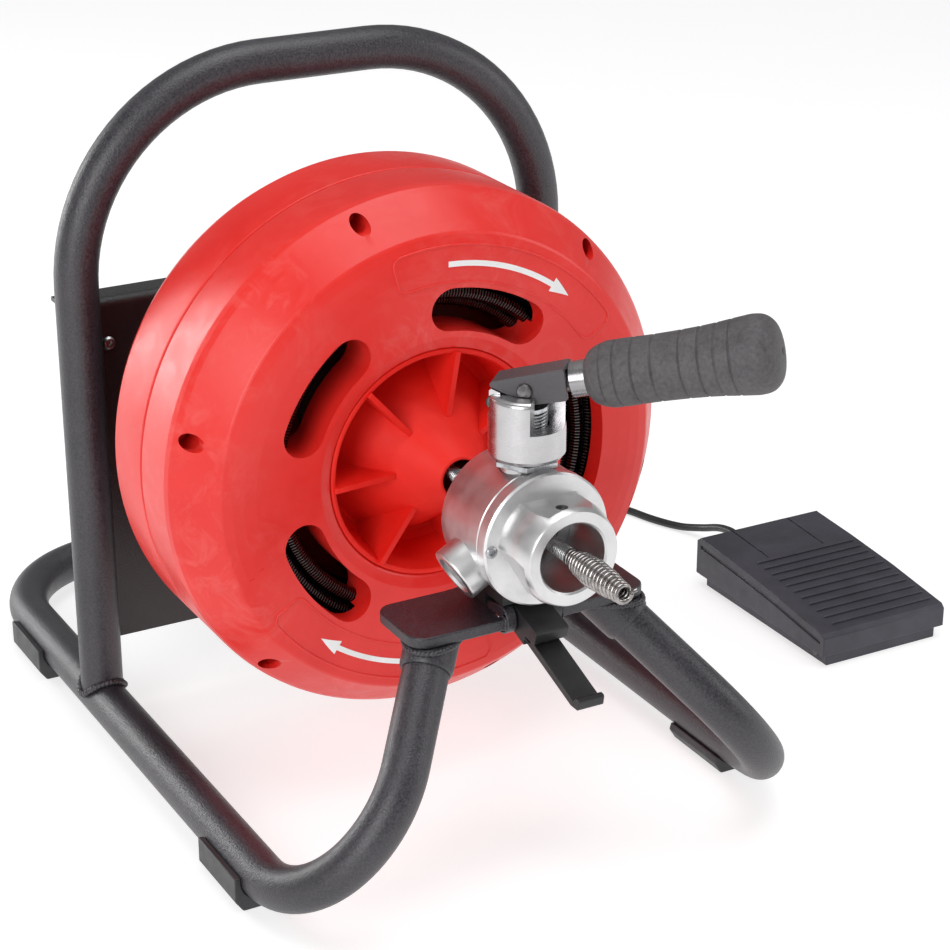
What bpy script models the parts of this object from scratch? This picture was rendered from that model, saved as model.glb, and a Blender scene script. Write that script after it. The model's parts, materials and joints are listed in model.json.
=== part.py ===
"""Drum-type drain snake machine on a tubular carrying frame, with a foot pedal.

Lengths below are millimetres; MM turns them into Blender's metres. Design axes: the drum
turns about Y at x = 0, the front (nose and snake tip) faces -Y, the hoop stands in the
plane y = 0 and the feet rest on z = 0. A root empty moves all of it so that the origin
lies under the middle of the object.
"""
import math

import bmesh
import bpy
from mathutils import Matrix, Vector

MM = 0.001
GAP = 0.3

# carrying frame
TUBE_R = 14.0
TUBE_WALL = 2.0
TUBE_Z = 20.0
TUBE_SIDES = 12
BEND_STEP = math.radians(22.5)
HOOP_HALF = 167.0
HOOP_TOP = TUBE_Z + 416.0
HOOP_BEND_R = 129.0
BASE_REAR_Y = 216.0
BASE_REAR_R = 84.0
BASE_FRONT_CORNER_Y = -386.6
BASE_FRONT_R = 68.0
RISER_DIR = Vector((0.814, 0.887, 1.0)).normalized()
SADDLE_TOP = TUBE_Z + 143.7
SADDLE_T = 7.0
SADDLE_FRONT_Y = -285.5
SADDLE_REAR_Y = -233.0
SADDLE_HALF = 79.0
COLLAR_LENGTH = 26.0
FOOT_LENGTH = 55.0
FOOT_FRONT_Y = -259.0
FOOT_REAR_Y = 76.0

# mounting plate
PLATE_Y = TUBE_R + GAP
PLATE_T = 3.0
PLATE_HALF = 172.0
PLATE_LOW = 53.0
PLATE_TOP = 291.6
PLATE_FLANGE = 22.0

# drum
AXIS_Z = 216.0
DRUM_R = 170.5
DRUM_WALL = 4.0
PARTING_Y = -104.0
DRUM_SIDES = 32
OPENING_R = 74.0
SLOT_COUNT = 5
SLOT_IN_R = 86.0
SLOT_OUT_R = 114.0
SLOT_HALF_ANGLE = math.radians(23)
SLOT_FIRST_ANGLE = math.radians(71)
RIB_COUNT = 7
RIB_FIRST_ANGLE = math.radians(80)
AXLE_R = 10.0
BEARING_R = 17.0
SHAFT_SIDES = 24

# drive
PULLEY_R = 60.0
MOTOR_PULLEY_R = 18.0
MOTOR_DROP = 105.0
MOTOR_R = 44.0
MOTOR_SHAFT_R = 6.0
PULLEY_FRONT_Y = -26.0
PULLEY_REAR_Y = -8.0

# snake
CABLE_R = 5.0
TIP_R = 8.5
TIP_END_Y = -384.0
TIP_START_Y = -326.0
CABLE_START_Y = -92.0

# feed guide
FEED_Y = -275.0
BOSS_Y = -268.0
BOSS_R = 17.0
LOWER_ANGLES = {"left": math.radians(210), "right": math.radians(330)}
GUIDE_CENTRE = Vector((0, FEED_Y, AXIS_Z))
GUIDE_R = 40.0
GUIDE_BORE_R = 21.0
NOSE_END_Y = -329.0
ROLLER_R = 7.0
ROLLER_HALF = 5.5
ROLLER_TILT = math.radians(15)
LOWER_ROLLER_R = CABLE_R + ROLLER_R + 0.4
HOLDER_R = 10.5
LEVER_STROKE = math.radians(22)
PUSH_ARM = 10.0
PLUNGER_STROKE = PUSH_ARM * math.sin(LEVER_STROKE)
TOP_ROLLER_R = LOWER_ROLLER_R + PLUNGER_STROKE
POST_R = 22.5
LEVER_TURN = math.radians(-44)
PIVOT_OUT = -9.2
PIVOT_Z = AXIS_Z + 86.6
PIVOT_R = 2.0
PUSH_PIN_R = 2.6
CHANNEL_HALF = 9.5
CHANNEL_WALL = 2.5
CHANNEL_TOP_LEFT = (-19.4, 90.2)
CHANNEL_TOP_RIGHT = (23.2, 102.1)
CHANNEL_TOP_T = 2.08
GRIP_OUT = 35.7
GRIP_UP = 95.2
GRIP_RISE = math.radians(13.5)
LATCH_Y = -278.0
LATCH_Z = 161.0

# foot pedal
PEDAL_X = 354.5
PEDAL_HALF = 53.0
PEDAL_FRONT_Y = -171.5
PEDAL_REAR_Y = -11.0
PEDAL_WALL = 2.5
PEDAL_HINGE_Y = -158.0
PEDAL_HINGE_Z = 7.0
RELIEF_Z = 19.0

# pedal cord
CORD_R = 3.0
CORD_Z = CORD_R + 0.2
COIL_CENTRE = Vector((236.0, 168.0, 0.0))
COIL_MID_R = 34.0
COIL_COLUMNS = 2
COIL_LAYERS = 2
COIL_HALF = COIL_COLUMNS * 2 * CORD_R - CORD_R + 0.2
BESIDE_COIL = COIL_MID_R + COIL_HALF + GAP + CORD_R
COIL_LEAVE = math.radians(45)
FALL = [Vector(p) for p in ((152.7, 40, 140), (167, 40, 139.5), (180, 41, 129), (188, 45, 108),
                            (192, 53, 77), (194, 65, 43), (195, 82, 16), (194.5, 101, 5),
                            (192, 122, CORD_Z), (190, 145, CORD_Z),
                            (COIL_CENTRE.x - BESIDE_COIL, COIL_CENTRE.y, CORD_Z))]
RUN = [Vector(p) for p in ((COIL_CENTRE.x + BESIDE_COIL * math.cos(COIL_LEAVE),
                            COIL_CENTRE.y + BESIDE_COIL * math.sin(COIL_LEAVE), CORD_Z),
                           (285, 185.5, CORD_Z), (301, 169, CORD_Z), (314.5, 150, CORD_Z),
                           (326, 124, CORD_Z), (334, 99, CORD_Z), (344, 76, 4.0), (351, 56, 9.0),
                           (354, 38, 15.5), (354.5, 24, 18.6), (354.5, 14.4, RELIEF_Z))]

ORIGIN = Vector((111.25, -77.82, 0.0))

COLOURS = {
    "powder_coat": ((0.045, 0.043, 0.050), 0.55, 0.3),
    "black_steel": ((0.012, 0.010, 0.011), 0.5, 0.3),
    "red_plastic": ((0.72, 0.035, 0.025), 0.42, 0.0),
    "aluminium": ((0.62, 0.62, 0.64), 0.3, 1.0),
    "steel": ((0.50, 0.50, 0.50), 0.25, 1.0),
    "black_plastic": ((0.020, 0.020, 0.022), 0.5, 0.0),
    "pedal_plastic": ((0.030, 0.030, 0.038), 0.45, 0.0),
    "grip_rubber": ((0.050, 0.047, 0.047), 0.7, 0.0),
    "cable_sheath": ((0.015, 0.015, 0.015), 0.45, 0.0),
    "wound_cable": ((0.030, 0.028, 0.028), 0.40, 0.6),
    "copper": ((0.60, 0.25, 0.12), 0.35, 0.9),
    "belt_rubber": ((0.014, 0.014, 0.014), 0.8, 0.0),
}


def clear_scene():
    for old in list(bpy.data.objects):
        bpy.data.objects.remove(old, do_unlink=True)


def material(name):
    found = bpy.data.materials.get(name)
    if found:
        return found
    made = bpy.data.materials.new(name)
    made.use_nodes = True
    shader = made.node_tree.nodes["Principled BSDF"]
    colour, roughness, metallic = COLOURS[name]
    shader.inputs["Base Color"].default_value = (*colour, 1.0)
    shader.inputs["Roughness"].default_value = roughness
    shader.inputs["Metallic"].default_value = metallic
    return made


def empty(name, place, parent=None):
    made = bpy.data.objects.new(name, None)
    made.empty_display_size = 0.02
    made.location = place * MM
    made.parent = parent
    bpy.context.scene.collection.objects.link(made)
    return made


def finish_mesh(name, bm, body, slot):
    """Close the mesh work and hang the object under its body's empty."""
    bmesh.ops.remove_doubles(bm, verts=bm.verts[:], dist=0.001)
    bmesh.ops.recalc_face_normals(bm, faces=bm.faces[:])
    bmesh.ops.scale(bm, vec=(MM, MM, MM), verts=bm.verts[:])
    mesh = bpy.data.meshes.new(name)
    bm.to_mesh(mesh)
    bm.free()
    mesh.shade_smooth()
    mesh.set_sharp_from_angle(angle=math.radians(35))
    made = bpy.data.objects.new(name, mesh)
    bpy.context.scene.collection.objects.link(made)
    if slot:
        mesh.materials.append(material(slot))
    made.parent = BODIES[body]
    made.location = -PIVOTS[body] * MM
    return made


def helper(made):
    """Mark a cutter or a shape to be joined: it isn't a piece of the object."""
    made.hide_render = True
    made.display_type = "WIRE"
    return made


def boolean(target, tool, operation):
    helper(tool)
    step = target.modifiers.new(operation.title(), "BOOLEAN")
    step.operation = operation
    step.solver = "EXACT"
    step.object = tool
    return target


def frame_towards(direction):
    """Two unit vectors square to a direction."""
    direction = direction.normalized()
    guide = Vector((0, 0, 1)) if abs(direction.z) < 0.9 else Vector((1, 0, 0))
    side = direction.cross(guide).normalized()
    return side, side.cross(direction)


def spin_profile(bm, profile, centre, direction, sides):
    """Turn a closed (radius, distance) outline about an axis."""
    direction = direction.normalized()
    side, _ = frame_towards(direction)
    points = [centre + side * r + direction * t for r, t in profile]
    verts = [bm.verts.new(p) for p in points]
    edges = [bm.edges.new((a, b)) for a, b in zip(verts, verts[1:])]
    if min(profile[0][0], profile[-1][0]) > 0:
        edges.append(bm.edges.new((verts[-1], verts[0])))
    bmesh.ops.spin(bm, geom=verts + edges, cent=centre, axis=direction,
                   angle=math.tau, steps=sides, use_merge=True)
    bmesh.ops.remove_doubles(bm, verts=bm.verts[:], dist=0.001)


def turned(name, profile, centre, direction, body, slot, sides=16):
    bm = bmesh.new()
    spin_profile(bm, profile, centre, direction, sides)
    return finish_mesh(name, bm, body, slot)


def on_drum_axis(name, profile, body, slot, sides=DRUM_SIDES, drop=0.0):
    """A turned piece whose outline is (radius, y)."""
    return turned(name, profile, Vector((0, 0, AXIS_Z - drop)), Vector((0, 1, 0)), body, slot, sides)


def rod(name, radius, start, end, body, slot, sides=12):
    length = (end - start).length
    return turned(name, [(0, 0), (radius, 0), (radius, length), (0, length)],
                  start, end - start, body, slot, sides)


def ring(name, inner, outer, start, end, body, slot, sides=SHAFT_SIDES, drop=0.0):
    """A plain ring about the drum's axis, or about one below it."""
    outline = [(inner, start), (outer, start), (outer, end), (inner, end)]
    return on_drum_axis(name, outline, body, slot, sides, drop)


def add_prism(bm, outline, plane, low, high):
    """Extrude an outline drawn in a plane ('xy', 'yz' or 'xz') along the third axis."""
    def point(u, v, w):
        return {"xy": (u, v, w), "yz": (w, u, v), "xz": (u, w, v)}[plane]
    face = bm.faces.new([bm.verts.new(point(u, v, low)) for u, v in outline])
    grown = bmesh.ops.extrude_face_region(bm, geom=[face])["geom"]
    shift = Vector(point(0, 0, high - low))
    bmesh.ops.translate(bm, vec=shift, verts=[g for g in grown if isinstance(g, bmesh.types.BMVert)])


def prism(name, outline, plane, low, high, body, slot):
    bm = bmesh.new()
    add_prism(bm, outline, plane, low, high)
    return finish_mesh(name, bm, body, slot)


def box(name, low, high, body, slot):
    outline = [(low[0], low[1]), (high[0], low[1]), (high[0], high[1]), (low[0], high[1])]
    return prism(name, outline, "xy", low[2], high[2], body, slot)


def arc(centre, radius, start, end, steps):
    """Points on an arc in a plane, angles in degrees."""
    angles = [math.radians(start + (end - start) * k / steps) for k in range(steps + 1)]
    return [(centre[0] + radius * math.cos(a), centre[1] + radius * math.sin(a)) for a in angles]


def rounded_path(corners, radii):
    """Straight runs joined by arcs."""
    points = [corners[0]]
    for before, here, after, radius in zip(corners, corners[1:], corners[2:], radii):
        back = (before - here).normalized()
        on = (after - here).normalized()
        half = back.angle(on) / 2
        centre = here + (back + on).normalized() * radius / math.sin(half)
        start = here + back * radius / math.tan(half) - centre
        end = here + on * radius / math.tan(half) - centre
        turn = math.pi - 2 * half
        axis = start.cross(end)
        steps = max(2, round(turn / BEND_STEP))
        points += [centre + Matrix.Rotation(turn * k / steps, 3, axis) @ start for k in range(steps + 1)]
    return points + [corners[-1]]


def hollow_tube(name, path, outer, inner, body, slot, end_plane=None, level_ends=()):
    """Sweep a tube wall along a path; its listed ends are cut level at end_plane's height."""
    sides = TUBE_SIDES
    directions = [(b - a).normalized() for a, b in zip(path, path[1:])]
    along = [directions[0]]
    along += [(a + b).normalized() for a, b in zip(directions, directions[1:])]
    along.append(directions[-1])
    side, _ = frame_towards(along[0])
    bm = bmesh.new()
    rings = []
    for index, (point, way) in enumerate(zip(path, along)):
        side = (side - way * side.dot(way)).normalized()
        other = way.cross(side)
        loops = []
        for radius in (outer, inner):
            loop = []
            for k in range(sides):
                a = math.tau * k / sides
                spot = point + side * radius * math.cos(a) + other * radius * math.sin(a)
                if index in level_ends:
                    spot = spot + way * ((end_plane - spot.z) / way.z)
                loop.append(bm.verts.new(spot))
            loops.append(loop)
        rings.append(loops)
    for one, two in zip(rings, rings[1:]):
        for wall in (0, 1):
            bridge(bm, one[wall], two[wall])
    for loops in (rings[0], rings[-1]):
        bridge(bm, loops[0], loops[1])
    return finish_mesh(name, bm, body, slot)


def bridge(bm, first, second):
    count = len(first)
    for k in range(count):
        n = (k + 1) % count
        bm.faces.new((first[k], first[n], second[n], second[k]))


# ---------------------------------------------------------------- carrying frame

def make_base_tube():
    end_z = SADDLE_TOP - SADDLE_T - GAP
    left = Vector((-HOOP_HALF, BASE_FRONT_CORNER_Y, TUBE_Z))
    riser_end = left + RISER_DIR * ((end_z - TUBE_Z) / RISER_DIR.z)
    half = [riser_end, left, Vector((-HOOP_HALF, BASE_REAR_Y, TUBE_Z))]
    mirror = [Vector((-p.x, p.y, p.z)) for p in reversed(half)]
    radii = [BASE_FRONT_R, BASE_REAR_R, BASE_REAR_R, BASE_FRONT_R]
    path = rounded_path(half + mirror, radii)
    hollow_tube("base_tube", path, TUBE_R, TUBE_R - TUBE_WALL, "root", "powder_coat",
                end_plane=end_z, level_ends=(0, len(path) - 1))
    for side, label in ((-1, "left"), (1, "right")):
        way = Vector((-side * RISER_DIR.x, RISER_DIR.y, RISER_DIR.z))
        top = Vector((-side * riser_end.x, riser_end.y, riser_end.z))
        path = [top - way * COLLAR_LENGTH, top]
        clear = (TUBE_R + GAP) / math.cos(math.pi / TUBE_SIDES)
        hollow_tube("riser_collar_" + label, path, TUBE_R + 4, clear, "root", "powder_coat",
                    end_plane=end_z, level_ends=(1,))


def make_hoop():
    corners = [Vector((-HOOP_HALF, 0, TUBE_Z)), Vector((-HOOP_HALF, 0, HOOP_TOP)),
               Vector((HOOP_HALF, 0, HOOP_TOP)), Vector((HOOP_HALF, 0, TUBE_Z))]
    path = rounded_path(corners, [HOOP_BEND_R, HOOP_BEND_R])
    hoop = hollow_tube("hoop_handle_tube", path, TUBE_R, TUBE_R - TUBE_WALL, "root", "powder_coat")
    for side in (-1, 1):
        start = Vector((side * HOOP_HALF, -40, TUBE_Z))
        cope = rod("hoop_cope", TUBE_R + GAP, start, start + Vector((0, 80, 0)), "root", None, 24)
        boolean(hoop, cope, "DIFFERENCE")


def make_feet():
    """Clips that wrap the outer and lower side of the base tube and stand on the floor."""
    hug = arc((0, 0), TUBE_R + GAP, -35, -190, 8)
    outline = [(-18, 3), (-18, -13), (-13, -TUBE_Z), (10, -TUBE_Z), (15, -12), (13.5, -7.5)]
    for side, label in ((-1, "left"), (1, "right")):
        for y, end in ((FOOT_FRONT_Y, "front"), (FOOT_REAR_Y, "rear")):
            points = [(side * (HOOP_HALF - u), TUBE_Z + v) for u, v in outline + hug]
            prism("foot_%s_%s" % (end, label), points, "xz", y, y + FOOT_LENGTH, "root",
                  "black_plastic")


def make_plate():
    back = PLATE_Y + PLATE_T
    outline = [(PLATE_Y, PLATE_LOW), (back, PLATE_LOW), (back, PLATE_TOP - PLATE_T),
               (PLATE_Y + PLATE_FLANGE, PLATE_TOP - PLATE_T), (PLATE_Y + PLATE_FLANGE, PLATE_TOP),
               (PLATE_Y, PLATE_TOP)]
    plate = prism("mounting_plate", outline, "yz", -PLATE_HALF, PLATE_HALF, "root", "black_steel")
    shaft = Vector((0, PLATE_Y - 5, AXIS_Z - MOTOR_DROP))
    hole = rod("shaft_hole", 9.0, shaft, shaft + Vector((0, 15, 0)), "root", None, 16)
    boolean(plate, hole, "DIFFERENCE")


def make_saddle():
    """Two wings on the risers, with a notch and two lugs at the front for the release lever."""
    corner = 11.0
    back = SADDLE_REAR_Y
    front = SADDLE_FRONT_Y
    lug_out, lug_in, notch_y = 17.0, 12.0, LATCH_Y + 11.0
    wide = SADDLE_HALF - corner
    right = arc((wide, front + corner), corner, -90, 0, 4) + arc((wide, back - corner), corner, 0, 90, 4)
    left = [(-x, y) for x, y in reversed(right)]
    notch = [(-lug_out, front), (-lug_out, notch_y), (lug_out, notch_y), (lug_out, front)]
    plate = prism("front_saddle", right + left + notch, "xy", SADDLE_TOP - SADDLE_T, SADDLE_TOP,
                  "root", "powder_coat")
    bm = bmesh.new()
    for side in (-1, 1):
        lug = arc((LATCH_Y, LATCH_Z), 9.0, 90, 270, 8)
        lug += [(LATCH_Y + 16, SADDLE_TOP - SADDLE_T - 2), (LATCH_Y + 16, SADDLE_TOP + 3)]
        low, high = sorted((side * lug_in, side * (lug_out + 2.0)))
        add_prism(bm, lug, "yz", low, high)
    boolean(plate, finish_mesh("saddle_lugs", bm, "root", None), "UNION")
    pin_hole = rod("latch_pin_hole", 2.9, Vector((-30, LATCH_Y, LATCH_Z)),
                   Vector((30, LATCH_Y, LATCH_Z)), "root", None, 12)
    boolean(plate, pin_hole, "DIFFERENCE")
    rod("latch_pin", 2.6, Vector((-20.5, LATCH_Y, LATCH_Z)), Vector((20.5, LATCH_Y, LATCH_Z)),
        "root", "steel", 12)


def make_release_lever():
    """Hub on the pin, a nose under the guide and a flat arm with a raised lip."""
    nose_low, nose_high = (LATCH_Y - 26, LATCH_Z - 8), (LATCH_Y - 29, LATCH_Z + 1)
    outline = arc((LATCH_Y, LATCH_Z), 8.2, 100, -95, 10)
    outline += [(-342, 131), (-350, 131), (-351.5, 141), (-347.5, 141.5), (-345, 135.5),
                (LATCH_Y - 12, LATCH_Z - 6), nose_low, nose_high]
    lever = prism("release_lever", outline, "yz", -11.0, 11.0, "latch", "black_plastic")
    hole = rod("lever_pin_hole", 2.8, Vector((-15, LATCH_Y, LATCH_Z)), Vector((15, LATCH_Y, LATCH_Z)),
               "latch", None, 12)
    boolean(lever, hole, "DIFFERENCE")


# ---------------------------------------------------------------- drum

def make_drum_shells():
    face_y = -46.0
    rear = [(DRUM_R, PARTING_Y + GAP / 2), (DRUM_R, -62), (166, -52), (156, face_y), (40, face_y),
            (40, -50), (154, -50), (162.5, -55), (DRUM_R - DRUM_WALL, -64),
            (DRUM_R - DRUM_WALL, PARTING_Y + GAP / 2)]
    on_drum_axis("drum_rear_shell", rear, "drum", "red_plastic")
    front = [(DRUM_R, PARTING_Y - GAP / 2), (DRUM_R, -140), (167, -150), (160, -158.5), (147, -172),
             (130, -175.5), (82, -171), (OPENING_R, -168), (OPENING_R, -162), (130, -171),
             (144, -167.5), (163, -147), (DRUM_R - DRUM_WALL, -138),
             (DRUM_R - DRUM_WALL, PARTING_Y - GAP / 2)]
    shell = on_drum_axis("drum_front_shell", front, "drum", "red_plastic")
    bm = bmesh.new()
    middle = (SLOT_IN_R + SLOT_OUT_R) / 2
    half = (SLOT_OUT_R - SLOT_IN_R) / 2
    spread = SLOT_HALF_ANGLE - half / middle
    steps = 5
    for k in range(SLOT_COUNT):
        at = SLOT_FIRST_ANGLE + math.tau * k / SLOT_COUNT
        outline = []
        for n in range(steps + 1):
            a = at - spread + 2 * spread * n / steps
            outline.append((SLOT_OUT_R * math.cos(a), AXIS_Z + SLOT_OUT_R * math.sin(a)))
        for end, turn in ((at + spread, 0), (at - spread, math.pi)):
            centre = (middle * math.cos(end), AXIS_Z + middle * math.sin(end))
            start = math.degrees(end + turn)
            outline += arc(centre, half, start + 30, start + 150, 4)
            if turn == 0:
                for n in range(steps + 1):
                    a = at + spread - 2 * spread * n / steps
                    outline.append((SLOT_IN_R * math.cos(a), AXIS_Z + SLOT_IN_R * math.sin(a)))
        add_prism(bm, outline, "xz", -185, -155)
    boolean(shell, finish_mesh("slot_cutter", bm, "drum", None), "DIFFERENCE")


def make_inner_cone():
    """A round trough behind the rim and a hub that rises from it to the cable's hole."""
    rim = OPENING_R - 0.5
    outline = [(rim, -167.5), (70, -167.5), (65, -132), (60, -126), (14, -196), (12, -196),
               (12, -193), (58.6, -122), (62, -120.5), (68, -129), (rim, -160)]
    cone = on_drum_axis("drum_inner_cone", outline, "drum", "red_plastic", 28)
    bm = bmesh.new()
    for k in range(RIB_COUNT):
        at = RIB_FIRST_ANGLE + math.tau * k / RIB_COUNT
        rib = bmesh.new()
        fin = [(72.3, -170.5), (29.5, -170.5), (57.5, -124.5), (66.3, -130.5), (72, -160)]
        add_prism(rib, fin, "xy", -1.8, 1.8)
        turn = Matrix.Translation((0, 0, AXIS_Z)) @ Matrix.Rotation(-at, 4, "Y")
        bmesh.ops.transform(rib, matrix=turn, verts=rib.verts[:])
        piece = bpy.data.meshes.new("rib")
        rib.to_mesh(piece)
        rib.free()
        bm.from_mesh(piece)
        bpy.data.meshes.remove(piece)
    boolean(cone, finish_mesh("cone_ribs", bm, "drum", None), "UNION")


def make_drum_inside():
    coil = [(80, -158), (146, -158), (160, -144), (160, -58), (80, -58)]
    on_drum_axis("stored_cable", coil, "drum", "wound_cable", 28)
    hub = [(BEARING_R + GAP, -76), (24, -76), (24, -45.7), (55, -45.7), (55, -38), (24, -38),
           (24, -2), (BEARING_R + GAP, -2)]
    on_drum_axis("drum_hub", hub, "drum", "aluminium", SHAFT_SIDES)
    for start, label in ((-74, "front"), (-16, "rear")):
        ring("%s_bearing" % label, AXLE_R + 0.25, BEARING_R, start, start + 12, "drum", "steel")
    ring("drum_pulley", 24.3, PULLEY_R, PULLEY_FRONT_Y, PULLEY_REAR_Y, "drum", "aluminium", 28)
    axle = [(0, PLATE_Y - GAP), (34, PLATE_Y - GAP), (34, 6), (16, 3), (AXLE_R, 0.5), (AXLE_R, -79),
            (0, -79)]
    on_drum_axis("drum_axle", axle, "root", "steel", SHAFT_SIDES)


# ---------------------------------------------------------------- motor and switch box

def make_drive():
    """Flat loop round both pulleys."""
    def loop(extra):
        big, small = PULLEY_R + extra, MOTOR_PULLEY_R + extra
        lean = math.degrees(math.asin((big - small) / MOTOR_DROP))
        return (arc((0, AXIS_Z), big, -lean, 180 + lean, 20)
                + arc((0, AXIS_Z - MOTOR_DROP), small, 180 + lean, 360 - lean, 8))
    belt = prism("drive_belt", loop(3.5), "xz", -24, -10, "root", "belt_rubber")
    boolean(belt, prism("belt_inside", loop(3 * GAP), "xz", -30, -4, "root", None), "DIFFERENCE")
    rotor = [(0, PULLEY_FRONT_Y), (MOTOR_PULLEY_R, PULLEY_FRONT_Y), (MOTOR_PULLEY_R, PULLEY_REAR_Y),
             (MOTOR_SHAFT_R, PULLEY_REAR_Y), (MOTOR_SHAFT_R, 40), (25, 40), (25, 92),
             (MOTOR_SHAFT_R, 92), (MOTOR_SHAFT_R, 126), (0, 126)]
    on_drum_axis("motor_rotor", rotor, "rotor", "steel", SHAFT_SIDES, MOTOR_DROP)
    front = PLATE_Y + PLATE_T + GAP
    housing = [(9, front), (MOTOR_R, front), (MOTOR_R, 118), (MOTOR_R - 3.5, 118),
               (MOTOR_R - 3.5, front + 5), (9, front + 5)]
    on_drum_axis("motor_housing", housing, "root", "black_steel", SHAFT_SIDES, MOTOR_DROP)
    ring("motor_stator", 27, MOTOR_R - 4, 36, 96, "root", "copper", SHAFT_SIDES, MOTOR_DROP)
    cap = [(0, 140), (30, 140), (MOTOR_R - 2, 134), (MOTOR_R, 128), (MOTOR_R, 118.3),
           (MOTOR_R - 3.5, 118.3), (MOTOR_R - 3.5, 127), (MOTOR_R - 6, 131), (28, 136), (0, 136)]
    on_drum_axis("motor_end_cap", cap, "root", "black_plastic", SHAFT_SIDES, MOTOR_DROP)
    blades = 9
    outline = []
    for k in range(blades):
        at = math.tau * k / blades
        for radius, shift in ((14, 0.0), (35, 0.10), (35, 0.26), (14, 0.34)):
            a = at + shift
            outline.append((radius * math.cos(a), AXIS_Z - MOTOR_DROP + radius * math.sin(a)))
    fan = prism("cooling_fan", outline, "xz", 102, 112, "rotor", "black_plastic")
    centre = Vector((0, 95, AXIS_Z - MOTOR_DROP))
    bore = rod("fan_bore", MOTOR_SHAFT_R + GAP, centre, centre + Vector((0, 30, 0)), "rotor", None, 24)
    boolean(fan, bore, "DIFFERENCE")


def make_switch_box():
    low, high = (62, PLATE_Y + PLATE_T + GAP, 120), (126, 62, 200)
    box("switch_box", low, high, "root", "black_plastic")
    knob = [(0, high[1] + GAP), (17, high[1] + GAP), (17, high[1] + 6), (12, high[1] + 9),
            (11, high[1] + 18), (0, high[1] + 18)]
    turned("reversing_switch_knob", knob, Vector((94, 0, 168)), Vector((0, 1, 0)), "knob",
           "grip_rubber", 16)
    inlet = [(0, 0), (9, 0), (9, 5), (6.5, 6), (5.5, 16), (4.2, 16), (4.2, 4), (0, 4)]
    turned("mains_inlet_gland", inlet, Vector((76, 40, low[2] - GAP)), Vector((0, 0, -1)), "root",
           "black_plastic", 14)
    gland = [(0, 0), (8, 0), (8, 5), (5.5, 7), (4, 26), (0, 26)]
    turned("pedal_cord_gland", gland, Vector((high[0] + GAP, 40, 140)), Vector((1, 0, 0)), "root",
           "black_plastic", 14)


# ---------------------------------------------------------------- snake and feed guide

def make_snake():
    axis = Vector((0, 0, AXIS_Z))
    start = axis + Vector((0, TIP_START_Y + GAP, 0))
    rod("snake_cable", CABLE_R, axis + Vector((0, CABLE_START_Y, 0)), start, "snake", "steel", 12)
    tip = [(0, TIP_START_Y), (5.2, TIP_START_Y), (7.4, -338), (TIP_R, -352), (7.8, -366),
           (6.2, -378), (5.4, TIP_END_Y), (2.8, TIP_END_Y), (2.8, -374), (0, -374)]
    on_drum_axis("snake_tip", tip, "snake", "steel", 14)


def radial(angle):
    return Vector((math.cos(angle), 0, math.sin(angle)))


def make_guide():
    body = ring("guide_body", GUIDE_BORE_R, GUIDE_R, -289, -243, "root", "aluminium", 28)
    for label, angle in LOWER_ANGLES.items():
        out = radial(angle)
        centre = Vector((0, BOSS_Y, AXIS_Z))
        boss = rod("boss_" + label, BOSS_R, centre + out * 28, centre + out * 51, "root", None, 18)
        boolean(body, boss, "UNION")
        bore = rod("bore_" + label, 11, centre + out * 8, centre + out * 60, "root", None, 18)
        boolean(body, bore, "DIFFERENCE")
    centre = GUIDE_CENTRE
    up = Vector((0, 0, 1))
    boolean(body, rod("bore_top", 11, centre + up * 8, centre + up * 60, "root", None, 18),
            "DIFFERENCE")
    boolean(body, rod("spot_face", 16.4, centre + up * 34, centre + up * 60, "root", None, 18),
            "DIFFERENCE")
    nose_outline = [(GUIDE_BORE_R, -289.3), (41, -289.3), (41, -299), (32, -299), (32, -318),
                    (29, NOSE_END_Y), (GUIDE_BORE_R, NOSE_END_Y)]
    nose = on_drum_axis("guide_nose", nose_outline, "root", "aluminium", 28)
    boolean(nose, rod("plunger_clearance", 16.4, centre + up * 34, centre + up * 60, "root", None, 18),
            "DIFFERENCE")
    for angle in (math.radians(90), *LOWER_ANGLES.values()):
        flat = bmesh.new()
        add_prism(flat, [(-25, -325), (25, -325), (25, -299.2), (-25, -299.2)], "xy", 26.5, 45)
        turn = Matrix.Translation((0, 0, AXIS_Z)) @ Matrix.Rotation(math.pi / 2 - angle, 4, "Y")
        bmesh.ops.transform(flat, matrix=turn, verts=flat.verts[:])
        boolean(nose, finish_mesh("nose_flat", flat, "root", None), "DIFFERENCE")
    foot = box("guide_foot", (-20, -283, SADDLE_TOP + GAP), (20, -243, AXIS_Z - 25), "root",
               "black_plastic")
    hug = rod("foot_hug", GUIDE_R + GAP, Vector((0, -300, AXIS_Z)), Vector((0, -230, AXIS_Z)), "root",
              None, 28)
    boolean(foot, hug, "DIFFERENCE")
    notch = box("foot_notch", (-20.5, -300, SADDLE_TOP - 1), (20.5, -262, SADDLE_TOP + 8), "root", None)
    boolean(foot, notch, "DIFFERENCE")
    for label, angle in LOWER_ANGLES.items():
        out = radial(angle)
        centre = Vector((0, BOSS_Y, AXIS_Z))
        boss = rod("foot_boss_clear_" + label, BOSS_R + GAP, centre + out * 20, centre + out * 60, "root",
                   None, 18)
        boolean(foot, boss, "DIFFERENCE")


def make_roller(label, centre, out, body):
    way = Matrix.Rotation(ROLLER_TILT, 3, out) @ Vector((0, 1, 0))
    h = ROLLER_HALF
    outline = [(0, -h - 2.8), (2.2, -h - 2.8), (2.2, -h), (ROLLER_R - 1, -h), (ROLLER_R, 1 - h),
               (ROLLER_R, h - 1), (ROLLER_R - 1, h), (2.2, h), (2.2, h + 2.8), (0, h + 2.8)]
    turned("feed_roller_" + label, outline, centre, way, body, "steel", 16)
    return way


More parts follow.
